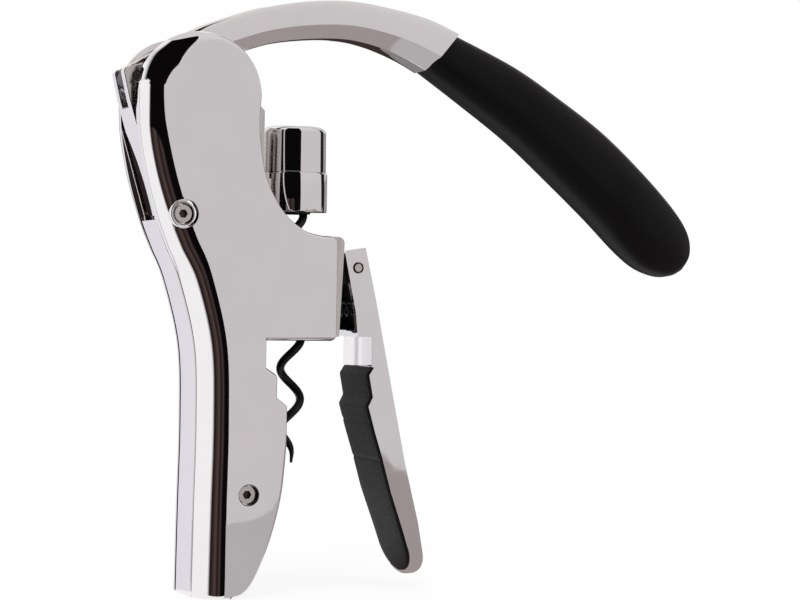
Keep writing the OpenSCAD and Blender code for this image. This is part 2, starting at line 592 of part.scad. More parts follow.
ring_z = eye_top + washer_t + 0.2;
hub_top = ring_z + 2;
module worm_hub() color(black) from_foot() difference() {
    union() {
        translate([0, 0, collar_z - 0.5]) cylinder(r = cup_r, h = 3.5);
        translate([0, 0, collar_z + 2.5]) cylinder(r = hub_r, h = hub_top - collar_z - 2.5);
        translate([0, 0, collar_z + 2 + run_gap])
            cylinder(r = 7, h = eye_z - washer_t - 0.1 - collar_z - 2 - run_gap);
    }
    translate([0, 0, collar_z - 1]) cylinder(r = cup_r - 0.75, h = stem_z - collar_z + 1.1);
    translate([0, 0, collar_z]) cylinder(r = wire_d / 2 + seat_gap, h = eye_top + 2 - collar_z);
    translate([0, 0, ring_z - 0.05]) difference() {
        cylinder(r = hub_r + 1, h = 1.3);
        cylinder(r = hub_r - 0.8, h = 1.3);
    }
}

module hub_ring() color(steel) from_foot() translate([0, 0, ring_z]) difference() {
    cylinder(r = 6.2, h = 1.2);
    translate([0, 0, -1]) cylinder(r = hub_r - 0.8 + seat_gap, h = 4);
    translate([0, -1.2, -1]) cube([9, 2.4, 4]);
}

// Grip lever: cheeks on the pin, a lip seat, a rounded end and a pocket for the rubber pad
lip_seat_z = block_z + 1;
pin_relief = 0.4;
lip_seat_r = 26;
grip_low = 3.9;
tip_rise = 8.5;
tip_rim = 1.3;
pad_y = squeeze_w / 2 - 1.4;
function tongue(half, low, rise) = concat([[half, 120]],
    [for (a = [0 : 10 : 180]) [half * cos(a), low + rise * (1 - sin(a))]], [[-half, 120]]);
module along_x(length) rotate([90, 0, 90]) linear_extrude(length) children();
module pad_form(proud, gap) intersection() {
    slab(-squeeze_w, squeeze_w) polygon(concat([for (q = pad_line) q - [proud, 0]],
        flip([for (q = pad_line) q + [pad_sink, 0]])));
    along_x(60) polygon(tongue(pad_y + gap, grip_low + tip_rim - gap, tip_rise - 0.5));
}
// Inner edge of the lever's back plate above the lip seat
room_z = lip_seat_z + 2;
room_line = [for (q = back_line) if (q[1] < 100 && q[1] > room_z) q - [cheek_t, 0]];
module grip_lever() color(chrome) from_foot() difference() {
    intersection() {
        slab(-squeeze_w, squeeze_w) polygon(concat([[13.6, 110.2], [14.4, 111.2]], back_line,
            [[43.9, 6.6], [43.6, 4.9], [42.8, 3.7], [41.6, 3.7]], flip(pad_line),
            [[23.8, 73.3], [23.8, lip_seat_z], [18.5, lip_seat_z], [17.7, 91.2]]));
        along_x(60) polygon(tongue(squeeze_w / 2, grip_low, tip_rise));
    }
    slab(-nose_y - run_gap, nose_y + run_gap) polygon(concat([[8, room_z], [8, 120], [32, 120], [32, 100],
        [squeeze_back(100) - cheek_t, 100]], room_line, [[squeeze_back(room_z) - cheek_t, room_z]]));
    translate([23.8 - sqrt(lip_seat_r * lip_seat_r - squeeze_w * squeeze_w / 4), 0, 73.3])
        cylinder(r = lip_seat_r, h = lip_seat_z - 73.3, $fn = 128);
    pad_form(9, seat_gap);
    at(squeeze_pivot) across(squeeze_pin_d / 2 + pin_gap, -face_y, face_y);
    at(squeeze_pivot) both_sides() across(squeeze_pin_d / 2 + pin_relief, squeeze_w / 2 - 0.8, face_y);
}

module grip_pad() color(rubber) from_foot() pad_form(pad_proud, 0);

near_shell();
far_shell();
spine_bar();
foot_plug();
neck_saddle();
nut_housing();
worm_nut();
near_guide();
far_guide();
carriage_buffer();
shell_screws();
thread_inserts();
link_bush();
squeeze_pin();
squeeze_spring();
rear_link();
link_pin();
lever_arm();
lever_grip();
drive_pin();
carriage();
worm_collar();
worm_cap();
thrust_washers();
worm();
worm_hub();
hub_ring();
grip_lever();
grip_pad();
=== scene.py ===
"""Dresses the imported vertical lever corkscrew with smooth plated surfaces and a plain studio."""

import json
import math
from collections import namedtuple

import bmesh
import bpy
from mathutils import Matrix, Vector

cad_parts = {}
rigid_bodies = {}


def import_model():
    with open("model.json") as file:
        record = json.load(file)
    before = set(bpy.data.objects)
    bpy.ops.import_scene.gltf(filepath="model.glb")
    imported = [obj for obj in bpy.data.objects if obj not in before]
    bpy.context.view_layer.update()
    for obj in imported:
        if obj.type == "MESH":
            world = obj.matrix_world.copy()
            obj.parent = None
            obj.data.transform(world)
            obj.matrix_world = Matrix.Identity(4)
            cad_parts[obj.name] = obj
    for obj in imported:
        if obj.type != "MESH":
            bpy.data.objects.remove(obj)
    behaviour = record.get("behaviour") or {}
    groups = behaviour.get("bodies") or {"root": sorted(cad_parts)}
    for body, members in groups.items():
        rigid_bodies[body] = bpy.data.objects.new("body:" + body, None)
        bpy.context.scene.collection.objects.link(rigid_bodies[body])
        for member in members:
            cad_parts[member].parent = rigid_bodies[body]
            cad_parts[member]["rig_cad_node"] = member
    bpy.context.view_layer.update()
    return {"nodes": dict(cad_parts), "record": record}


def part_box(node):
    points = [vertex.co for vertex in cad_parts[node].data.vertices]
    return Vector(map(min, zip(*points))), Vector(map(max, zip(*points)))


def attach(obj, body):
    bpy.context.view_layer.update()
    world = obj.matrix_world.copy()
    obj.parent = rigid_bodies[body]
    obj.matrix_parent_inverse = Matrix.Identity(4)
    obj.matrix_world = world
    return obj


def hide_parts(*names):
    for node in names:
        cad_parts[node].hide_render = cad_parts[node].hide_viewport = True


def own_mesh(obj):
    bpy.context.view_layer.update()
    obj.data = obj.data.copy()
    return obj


bl_info = {
    "name": "Vertical lever corkscrew",
    "version": (1, 0, 0),
    "blender": (4, 5, 0),
    "location": "View3D > Sidebar > Corkscrew",
    "description": "Finishes the pieces of a vertical lever corkscrew and sets up a studio",
    "category": "Object",
}

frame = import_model()

MM = 0.001
# Distance in mm from the frame's origin to the worm's axis, about which the outlines are drawn
AXIS_X = 30.0
# Height in mm of the foot's flat face in those outlines
FOOT_Z = 0.9
# Middles of the screws, pins and round top in those outlines
LINK_FOOT = (-42.2, 121.0)
LOW_SCREW = (-19.6, 33.2)
LINK_HEAD = (-55.2105, 163.5556)
SHOULDER = (-36.8, 158.6)
SQUEEZE = (18.3, 105.6)
# Corners of a mesh that are closer than this, in metres, count as one
SAME = 1e-7
# Turn of the photo's camera, the direction it looks along and the direction at its right
VIEW_YAW = math.radians(25.0)
VIEW_AHEAD = Vector((math.sin(VIEW_YAW), math.cos(VIEW_YAW), 0))
VIEW_RIGHT = Vector((math.cos(VIEW_YAW), -math.sin(VIEW_YAW), 0))


def linear(code, alpha=1.0):
    """Turns an sRGB hex code into linear colour."""
    parts = [int(code[i : i + 2], 16) / 255 for i in (1, 3, 5)]
    return [c / 12.92 if c <= 0.04045 else ((c + 0.055) / 1.055) ** 2.4 for c in parts] + [alpha]


def at(x, y, z):
    """A point in mm about the worm's axis, as a point of the frame in metres."""
    return Vector(((x + AXIS_X) * MM, y * MM, (z - FOOT_Z) * MM))


def ease(t):
    """Smooth step from 0 to 1."""
    t = max(0.0, min(1.0, t))
    return t * t * (3 - 2 * t)


def on_circle(centre, radius, a):
    """Point of a circle at an angle."""
    return centre[0] + radius * math.cos(a), centre[1] + radius * math.sin(a)


def smooth(points, steps):
    """Curve through the points, with some steps in each span."""
    rows = [Vector(p) for p in points]
    last = len(rows) - 1
    out = []
    for i in range(last):
        a, b, c, d = rows[max(i - 1, 0)], rows[i], rows[i + 1], rows[min(i + 2, last)]
        for k in range(steps):
            t = k / steps
            bend = (2 * a - 5 * b + 4 * c - d) * t**2
            swing = (3 * b - a - 3 * c + d) * t**3
            out.append(0.5 * (2 * b + (c - a) * t + bend + swing))
    out.append(rows[last])
    return out


def loft(bm, rings, ends=True):
    """Skin over rings of points, closed round each ring."""
    rows = [[bm.verts.new(p) for p in ring] for ring in rings]
    count = len(rows[0])
    for low, high in zip(rows, rows[1:]):
        for i in range(count):
            j = (i + 1) % count
            bm.faces.new((low[i], low[j], high[j], high[i]))
    if ends:
        bm.faces.new(list(reversed(rows[0])))
        bm.faces.new(rows[-1])
    return rows


def show(name, data):
    """New object of the scene with that data."""
    obj = bpy.data.objects.new(name, data)
    bpy.context.scene.collection.objects.link(obj)
    return obj


def shade(obj, angle):
    """Shades the faces smooth and keeps the edges that turn by more than the angle."""
    mesh = obj.data
    mesh.polygons.foreach_set("use_smooth", [True] * len(mesh.polygons))
    mesh.set_sharp_from_angle(angle=math.radians(angle))


def piece(name, bm, material, angle=35.0):
    """Turns the mesh in hand into a shaded object."""
    bmesh.ops.remove_doubles(bm, verts=bm.verts, dist=SAME)
    bmesh.ops.recalc_face_normals(bm, faces=bm.faces)
    if bm.calc_volume(signed=True) < 0:
        bmesh.ops.reverse_faces(bm, faces=bm.faces)
    mesh = bpy.data.meshes.new(name)
    bm.to_mesh(mesh)
    bm.free()
    mesh.materials.append(material)
    obj = show(name, mesh)
    shade(obj, angle)
    return obj


def cut(obj, tools):
    """Cuts the tool objects out of the object and deletes them."""
    for tool in tools:
        modifier = obj.modifiers.new("cut", "BOOLEAN")
        modifier.operation = "DIFFERENCE"
        modifier.solver = "MANIFOLD"
        modifier.object = tool
    graph = bpy.context.evaluated_depsgraph_get()
    mesh = bpy.data.meshes.new_from_object(obj.evaluated_get(graph))
    old = obj.data
    obj.modifiers.clear()
    obj.data = mesh
    bpy.data.meshes.remove(old)
    for tool in tools:
        bpy.data.objects.remove(tool)


def add(tree, kind, inputs=None, stops=(), **settings):
    """Adds a node with its settings and colour stops, and links or sets its inputs."""
    made = tree.nodes.new(kind)
    for key, value in settings.items():
        setattr(made, key, value)
    for i, (where, colour) in enumerate(stops):
        line = made.color_ramp.elements
        stop = line[i] if i < len(line) else line.new(where)
        stop.position = where
        stop.color = colour
    for key, value in (inputs or {}).items():
        if isinstance(value, bpy.types.NodeSocket):
            tree.links.new(value, made.inputs[key])
        else:
            made.inputs[key].default_value = value
    return made


def blank(name):
    """New material with an empty node tree."""
    material = bpy.data.materials.new(name)
    material.use_nodes = True
    material.node_tree.nodes.clear()
    return material, material.node_tree


def finish(name, values):
    """A new material with its surface shader and the coordinates of the frame."""
    material, tree = blank(name)
    surface = add(tree, "ShaderNodeBsdfPrincipled", values)
    add(tree, "ShaderNodeOutputMaterial", {"Surface": surface.outputs["BSDF"]})
    place = add(tree, "ShaderNodeTexCoord").outputs["Object"]
    return material, tree, surface, place


def seen_directly(tree):
    """One for rays of the camera, of mirrors and of clear glass, zero for soft light."""
    path = add(tree, "ShaderNodeLightPath")
    seen = path.outputs["Is Camera Ray"]
    for kind in ("Is Glossy Ray", "Is Transmission Ray"):
        either = add(tree, "ShaderNodeMath", {0: seen, 1: path.outputs[kind]}, operation="MAXIMUM")
        seen = either.outputs["Value"]
    return seen


def per(size_mm):
    """Texture scale at which one feature measures that many mm."""
    return 1 / (size_mm * MM)


def vary(tree, surface, cloud, tones, haze, rough, span=(0.3, 0.7)):
    """One pattern blends the colour between two tones, another the roughness between two values."""
    tint = add(tree, "ShaderNodeValToRGB", {"Fac": cloud.outputs["Fac"]}, list(zip(span, tones)))
    tree.links.new(tint.outputs["Color"], surface.inputs["Base Color"])
    limits = {"From Min": 0.3, "From Max": 0.7, "To Min": rough[0], "To Max": rough[1]}
    gloss = add(tree, "ShaderNodeMapRange", {"Value": haze.outputs["Fac"], **limits})
    tree.links.new(gloss.outputs["Result"], surface.inputs["Roughness"])


def chrome_plate(colours):
    """Bright chrome on a polished zinc casting: mirror-like, with slight polishing waves."""
    material, tree, surface, place = finish("chrome plate on zinc casting", {"Metallic": 1.0})
    cloud = add(tree, "ShaderNodeTexNoise", {"Vector": place, "Scale": per(14), "Detail": 2.0})
    haze = add(tree, "ShaderNodeTexNoise", {"Vector": place, "Scale": per(2.5), "Detail": 4.0})
    vary(tree, surface, cloud, (colours.chrome_shade, colours.chrome), haze, (0.02, 0.05))
    wave = add(tree, "ShaderNodeTexNoise", {"Vector": place, "Scale": per(9), "Detail": 1.0})
    swell = {"Height": wave.outputs["Fac"], "Strength": 0.02, "Distance": 0.5 * MM}
    bump = add(tree, "ShaderNodeBump", swell)
    tree.links.new(bump.outputs["Normal"], surface.inputs["Normal"])
    return material


def satin_steel(colours):
    """Satin plated metal: fine drawn lines along the height, drawn at 0.4 mm so that they show."""
    material, tree, surface, place = finish("satin plated steel", {"Metallic": 1.0})
    drawn = add(tree, "ShaderNodeMapping", {"Vector": place, "Scale": (per(0.4), per(0.4), per(12))})
    along = drawn.outputs["Vector"]
    lines = add(tree, "ShaderNodeTexNoise", {"Vector": along, "Scale": 1.0, "Detail": 3.0})
    tones = (colours.satin_shade, colours.satin)
    vary(tree, surface, lines, tones, lines, (0.14, 0.24), span=(0.35, 0.65))
    grooves = {"Height": lines.outputs["Fac"], "Strength": 0.08, "Distance": 0.2 * MM}
    bump = add(tree, "ShaderNodeBump", grooves)
    tree.links.new(bump.outputs["Normal"], surface.inputs["Normal"])
    return material


def turned_steel(colours):
    """Turned steel of pins and screws: even grey, with tool marks drawn at 0.6 mm so that they show."""
    material, tree, surface, place = finish("turned steel", {"Metallic": 1.0})
    marks = add(tree, "ShaderNodeTexNoise", {"Vector": place, "Scale": per(0.6), "Detail": 3.0})
    vary(tree, surface, marks, (colours.steel_shade, colours.steel), marks, (0.16, 0.3))
    return material


def turned_brass(colours):
    """Turned brass of the hidden inserts and the bush: warm yellow, softer in gloss than the steel."""
    material, tree, surface, place = finish("turned brass", {"Metallic": 1.0})
    marks = add(tree, "ShaderNodeTexNoise", {"Vector": place, "Scale": per(0.8), "Detail": 3.0})
    vary(tree, surface, marks, (colours.brass_shade, colours.brass), marks, (0.2, 0.34))
    return material


def black_finish(name, tones, grain_mm, rough, depth_mm, shine):
    """Moulded or coated black surface: two close tones, a fine grain and a bump of that grain."""
    material, tree, surface, place = finish(name, {"Specular IOR Level": shine})
    grain = add(tree, "ShaderNodeTexNoise", {"Vector": place, "Scale": per(grain_mm), "Detail": 4.0})
    cloud = add(tree, "ShaderNodeTexNoise", {"Vector": place, "Scale": per(18), "Detail": 2.0})
    vary(tree, surface, cloud, tones, grain, rough)
    pits = {"Height": grain.outputs["Fac"], "Strength": 0.25, "Distance": depth_mm * MM}
    bump = add(tree, "ShaderNodeBump", pits)
    tree.links.new(bump.outputs["Normal"], surface.inputs["Normal"])
    return material


METALS = {
    "chrome_plate": chrome_plate,
    "satin_steel": satin_steel,
    "machined_steel": turned_steel,
    "brass": turned_brass,
}
# Each black finish: its name, its colours, grain in mm, roughness, depth of the grain in mm and shine
BLACKS = {
    # Soft-touch rubber, moulded over the arm: the deepest black, with a faint broad sheen
    "soft_grip": ("soft-touch rubber grip", "grip", 0.5, (0.34, 0.46), 0.05, 0.14),
    # Nitrile rubber, moulded: dull black that lights up only along its edges
    "rubber": ("moulded nitrile rubber", "rubber", 0.7, (0.5, 0.66), 0.08, 0.2),
    # Sprayed non-stick coat: black with small soft highlights along the wire
    "black_coating": ("non-stick coating on steel", "coating", 0.35, (0.28, 0.42), 0.03, 0.25),
    # Black oxide, from a hot bath: dark grey with a clear gloss. It is also painted shade in sockets,
    # recess rims, hollows and the parting gap
    "black_oxide": ("black oxide on steel", "oxide", 0.4, (0.3, 0.4), 0.02, 0.5),
    # Acetal, moulded: black with an even, half-matt gloss
    "black_plastic": ("moulded acetal plastic", "plastic", 0.5, (0.38, 0.52), 0.04, 0.25),
}
FINISHES = {}


def material_of(slot):
    """The finish of a slot of the record, made once."""
    if slot not in FINISHES:
        colours = bpy.context.scene.corkscrew_colours
        if slot in METALS:
            FINISHES[slot] = METALS[slot](colours)
        else:
            name, key, *surface = BLACKS[slot]
            tones = (getattr(colours, key), getattr(colours, key + "_light"))
            FINISHES[slot] = black_finish(name, tones, *surface)
    return FINISHES[slot]


def slot_of(node):
    """Slot of the record that a node takes its finish from."""
    rows = frame["record"]["subparts"]
    return next(row["material_slot"] for row in rows if row["node"] == node)


def paint(obj, material, test):
    """Gives the faces that pass the test a second finish."""
    obj.data.materials.append(material)
    for face in obj.data.polygons:
        if test(face):
            face.material_index = len(obj.data.materials) - 1


def soften(obj, width_mm):
    """Small roundings on the sharp edges."""
    bevel = obj.modifiers.new("edge", "BEVEL")
    bevel.width = width_mm * MM
    bevel.segments = 2
    bevel.limit_method = "ANGLE"
    bevel.angle_limit = math.radians(40)
    bevel.harden_normals = True


def coat(obj, node):
    """Gives a solid's mesh the finish of its slot and joins its loose corners."""
    obj.data.materials.clear()
    obj.data.materials.append(material_of(slot_of(node)))
    obj.modifiers.new("weld", "WELD").merge_threshold = 1e-6


def copy_of(node, name):
    """Copy of a node's solid, to be painted in parts."""
    obj = show(name, frame["nodes"][node].data.copy())
    coat(obj, node)
    return obj


def stand_for(obj, node, body):
    """Puts a finished piece in the place of its node."""
    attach(obj, body)
    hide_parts(node)


class CorkscrewSizes(bpy.types.PropertyGroup):
    """Sizes of the finished surfaces."""

    face_y: bpy.props.FloatProperty(
        name="Half width", description="Middle plane to the side face", default=0.016, unit="LENGTH"
    )
    wall: bpy.props.FloatProperty(
        name="Wall", description="Thickness of the shells", default=0.0025, unit="LENGTH"
    )
    slot_y: bpy.props.FloatProperty(
        name="Half slot", description="Middle plane to the parting edge", default=0.0082, unit="LENGTH"
    )
    top_r: bpy.props.FloatProperty(
        name="Top radius", description="Radius of the shells' round top", default=0.0194, unit="LENGTH"
    )
    edge_r: bpy.props.FloatProperty(
        name="Edge", description="Small rounding of the front edges", default=0.0009, unit="LENGTH"
    )
    wire_r: bpy.props.FloatProperty(
        name="Worm wire", description="Radius of the worm's wire", default=0.00135, unit="LENGTH"
    )
    coil_r: bpy.props.FloatProperty(
        name="Worm coil", description="Radius of the worm's coil", default=0.0033, unit="LENGTH"
    )
    lead: bpy.props.FloatProperty(
        name="Worm lead", description="Rise of the worm in one turn", default=0.0199, unit="LENGTH"
    )
    cap_r: bpy.props.FloatProperty(
        name="Cap", description="Radius of the worm's cap", default=0.0105, unit="LENGTH"
    )
    collar_r: bpy.props.FloatProperty(
        name="Collar", description="Radius of the worm's collar", default=0.011, unit="LENGTH"
    )


def tone(name, description, code):
    """Colour property from an sRGB hex code."""
    return bpy.props.FloatVectorProperty(
        name=name, description=description, subtype="COLOR", size=4, min=0.0, max=1.0, default=linear(code)
    )


class CorkscrewColours(bpy.types.PropertyGroup):
    """Colours of the finishes."""

    chrome: tone("Chrome", "Bright chrome", "#F0EEEF")
    chrome_shade: tone("Chrome shade", "Darker tone of the chrome", "#EDEBEC")
    satin: tone("Satin", "Satin plated metal", "#DAD6D4")
    satin_shade: tone("Satin shade", "Darker tone of the satin metal", "#C8C3C1")
    steel: tone("Steel", "Turned steel", "#DAD5D2")
    steel_shade: tone("Steel shade", "Darker tone of the turned steel", "#C4BFBC")
    brass: tone("Brass", "Turned brass", "#D8B978")
    brass_shade: tone("Brass shade", "Darker tone of the brass", "#B89655")
    grip: tone("Grip", "Rubber of the lever's grip", "#060505")
    grip_light: tone("Grip light", "Lighter tone of the grip", "#0A0909")
    rubber: tone("Rubber", "Rubber of the pad", "#0F0D0E")
    rubber_light: tone("Rubber light", "Lighter tone of the pad", "#151214")
    coating: tone("Coating", "Black worm", "#121212")
    coating_light: tone("Coating light", "Lighter tone of the coating", "#1A1A19")
    # Black oxide of the pins and spring, also painted shade in sockets, recess rims, hollows and the
    # parting gap
    oxide: tone("Black oxide", "Black finish of pins and sockets", "#2A2625")
    oxide_light: tone("Black oxide light", "Lighter tone of the black finish", "#383332")
    plastic: tone("Plastic", "Black plastic", "#131313")
    plastic_light: tone("Plastic light", "Lighter tone of the plastic", "#1B1B1B")


def fields(group):
    """Names of a group's own properties."""
    return [key for key in group.bl_rna.properties.keys() if key not in ("rna_type", "name")]


class InMm:
    """The sizes of the panel in mm, as the outlines use them."""

    def __init__(self, group):
        for key in fields(group):
            setattr(self, key, getattr(group, key) / MM)


def between(table, u):
    """Value at u of a table of (u, value) rows, on straight lines."""
    for (u0, v0), (u1, v1) in zip(table, table[1:]):
        if u <= u1:
            return v0 + (v1 - v0) * max(0.0, u - u0) / (u1 - u0)
    return table[-1][1]


def filleted(corners, steps=6):
    """Path through corners of (x, z, radius), each turned on an arc."""
    out = [Vector(corners[0][:2])]
    for before, here, after in zip(corners, corners[1:], corners[2:]):
        spot = Vector(here[:2])
        back = (Vector(before[:2]) - spot).normalized()
        on = (Vector(after[:2]) - spot).normalized()
        half = back.angle(on) / 2
        centre = spot + (back + on).normalized() * here[2] / math.sin(half)
        start = spot + back * here[2] / math.tan(half) - centre
        end = spot + on * here[2] / math.tan(half) - centre
        first = math.atan2(start[1], start[0])
        turn = math.remainder(math.atan2(end[1], end[0]) - first, 2 * math.pi)
        for k in range(steps + 1):
            a = first + turn * k / steps
            out.append(centre + here[2] * Vector((math.cos(a), math.sin(a))))
    out.append(Vector(corners[-1][:2]))
    return out


def inward(points, i):
    """Inward direction at a point of an edge, so that both sides of a corner move in alike."""
    sides = []
    for j in (i - 1, i):
        if 0 <= j < len(points) - 1:
            run = (points[j + 1] - points[j]).normalized()
            sides.append(Vector((run[1], -run[0])))
    middle = sum(sides, Vector((0, 0))).normalized()
    return middle / max(middle.dot(sides[0]), 0.7)


def lathe(bm, profile, place, sides=96):
    """Turned ring: a closed profile of (radius, height) set by place at each angle."""
    rings = []
    for k in range(sides + 1):
        a = 2 * math.pi * (k % sides) / sides
        rings.append([place(r * math.cos(a), r * math.sin(a), h) for r, h in profile])
    loft(bm, rings, ends=False)


# Line of the back from the foot up
SPINE = [(-35.9, 0.9), (-35.6, 28), (-35.2, 56), (-36.2, 80), (-41.6, 101), (-45.7, 110.5), (-49.3, 120),
         (-53.1, 133), (-55.7, 147)]
# Rounding along the back by height, then along the arc of the top: reach, height and first angle
BACK_REACH = [(0, 10.8), (30, 10.3), (88, 10.0), (108, 9.6), (139, 8.9), (155, 7.5), (170, 7.3)]
BACK_HEIGHT = [(0, 13.0), (88, 13.0), (108, 9.0), (139, 6.3), (155, 6.5), (170, 6.5)]
BACK_START = [(0, 18.0), (88, 18.0), (112, 0.0), (160, 0.0)]
ARC_REACH = [(0.0, 13.0), (0.056, 13.2), (0.16, 14.9), (0.225, 14.6), (0.31, 10.8), (0.385, 7.4),
             (0.465, 4.6), (0.57, 2.5), (0.68, 1.5), (0.8, 0.9), (1.0, 0.9)]
ARC_HEIGHT = [(0.0, 15.6), (0.056, 15.8), (0.16, 17.7), (0.225, 16.6), (0.31, 10.4), (0.385, 6.6),
              (0.465, 4.0), (0.57, 2.4), (0.68, 1.5), (0.8, 0.9), (1.0, 0.9)]
ARC_START = [(0.0, 52.0), (0.056, 52.0), (0.16, 52.0), (0.225, 50.0), (0.31, 42.0), (0.385, 33.0),
             (0.465, 22.0), (0.57, 8.0), (0.68, 0.0), (1.0, 0.0)]
# Share of the arc at which its own tables take over
ARC_STEP = 0.05
# A row of the shells' edge: its point and inward normal, the rounding's reach, height and first angle,
# and where the rim ends and how thick it is
EdgeRow = namedtuple("EdgeRow", "spot normal reach height start rim width")


def spine_path(sizes):
    """Line of the back, carried on to the round top."""
    return smooth(SPINE + [(SHOULDER[0] - sizes.top_r, SHOULDER[1])], 12)


def shell_edge(sizes):
    """Rows round the edge of the shells: up the back, over the top and down the front."""
    steps = 72
    thin_rim, rim_end, top_rim = 0.6, 0.83, 9.0
    inner = sizes.face_y - sizes.wall
    spine = spine_path(sizes)
    turns = [math.pi - math.pi * i / steps for i in range(1, steps + 1)]
    top = [Vector(on_circle(SHOULDER, sizes.top_r, a)) for a in turns]
    front = smooth(
        [(SHOULDER[0] + sizes.top_r, SHOULDER[1]), (-17.7, 148), (-15.4, 134), (-9.6, 123.2), (-2, 117),
         (4.5, 115.2)], 12
    )
    block = filleted(
        [(4.5, 115.2, 0), (9.5, 115.0, 1.8), (9.5, 82.2, 1.3), (-14.35, 82.2, 0.5), (-14.35, 73.2, 0.6),
         (-10.5, 70.7, 1.2), (-10.5, 63.7, 0.6), (-6.98, 61.1, 1.2), (-6.98, 49, 0)]
    )
    low = smooth(
        [(-6.98, 49), (-7.58, 41), (-8.6, 32.2), (-11.1, 21.8), (-14.3, 12.8), (-17.8, 5.6), (-21.0, 2.1),
         (-24.2, 0.9)], 8
    )
    rounded = spine + top
    straight = front[1:-1] + block + low[1:]
    back = [smooth(table, 8) for table in (BACK_REACH, BACK_HEIGHT, BACK_START)]
    arc = [smooth(table, 8) for table in (ARC_REACH, ARC_HEIGHT, ARC_START)]
    edge = []
    for i, point in enumerate(rounded):
        u = max(0, i - len(spine) + 1) / steps
        share = max(0.0, 1 - u / rim_end)
        rim = max(inner + (sizes.slot_y - inner) * share, top_rim if u > ARC_STEP else 0.0)
        width = thin_rim + (sizes.wall - thin_rim) * share
        normal = inward(rounded, i) if i else Vector((1, 0))
        tables, where = (back, point[1]) if u < ARC_STEP else (arc, u)
        reach, height, start = [between(table, where) for table in tables]
        edge.append(EdgeRow(point, normal, reach, height, math.radians(max(start, 0.0)), rim, width))
    # Beside the housing a thin lip, painted dark as painted shadow of the parting gap, shows as a dark
    # parting line, and below it the rim is plain
    lip, plain = (inner + 0.12, -0.35), (inner + 0.6, 0.4)
    lip_end = len(front) + len(block) - 8
    for i, point in enumerate(straight):
        rim, width = lip if i < lip_end else plain
        normal = inward(straight, i)
        edge.append(EdgeRow(point, normal, sizes.edge_r, sizes.edge_r, 0.0, rim, width))
    return edge


def shell_mesh(sizes, side):
    """One shell as a closed skin with its rounded back and a flat side face."""
    steps = 12
    edge = shell_edge(sizes)
    inner = sizes.face_y - sizes.wall

    def ring(inset, height):
        out = []
        for row in edge:
            spot = row.spot + row.normal * inset(row)
            out.append(at(spot[0], side * height(row), max(spot[1], FOOT_Z)))
        return out

    def angle(row, k):
        return row.start + (math.pi / 2 - row.start) * k / steps

    rings = [ring(lambda r: 1.05 * r.reach * math.cos(r.start) + 0.1, lambda r: sizes.face_y)]
    for k in range(steps, -1, -1):
        rings.append(ring(
            lambda r: r.reach * (math.cos(r.start) - math.cos(angle(r, k))),
            lambda r: sizes.face_y - r.height * (1 - math.sin(angle(r, k))),
        ))
    rings.append(ring(lambda r: 0.0, lambda r: r.rim))
    for k in range(0, 7):
        a = math.radians(15 * k)
        rings.append(ring(
            lambda r: r.width + max(r.reach * math.cos(r.start) - sizes.wall, 0.4) * (1 - math.cos(a)),
            lambda r: r.rim + (inner - r.rim) * math.sin(a),
        ))
    bm = bmesh.new()
    rows = loft(bm, rings, ends=False)
    for row in (rows[0], rows[-1]):
        rim = [bm.edges.get((row[i - 1], row[i])) for i in range(len(row))]
        bmesh.ops.triangle_fill(bm, use_beauty=True, edges=rim)
    return bm


def drum(name, centre, radius, y0, y1, sides=64):
    """Plain cylinder across the body, used to cut recesses."""
    rim = [on_circle(centre, radius, 2 * math.pi * k / sides) for k in range(sides)]
    bm = bmesh.new()
    loft(bm, [[at(x, y, z) for x, z in rim] for y in (y0, y1)])
    return piece(name, bm, material_of("chrome_plate"))


def box_tool(name, low, high):
    """Plain block between two corners in mm, used to cut a slot."""
    plan = [(low[0], low[1]), (high[0], low[1]), (high[0], high[1]), (low[0], high[1])]
    bm = bmesh.new()
    loft(bm, [[at(x, y, z) for x, y in plan] for z in (low[2], high[2])])
    return piece(name, bm, material_of("chrome_plate"))


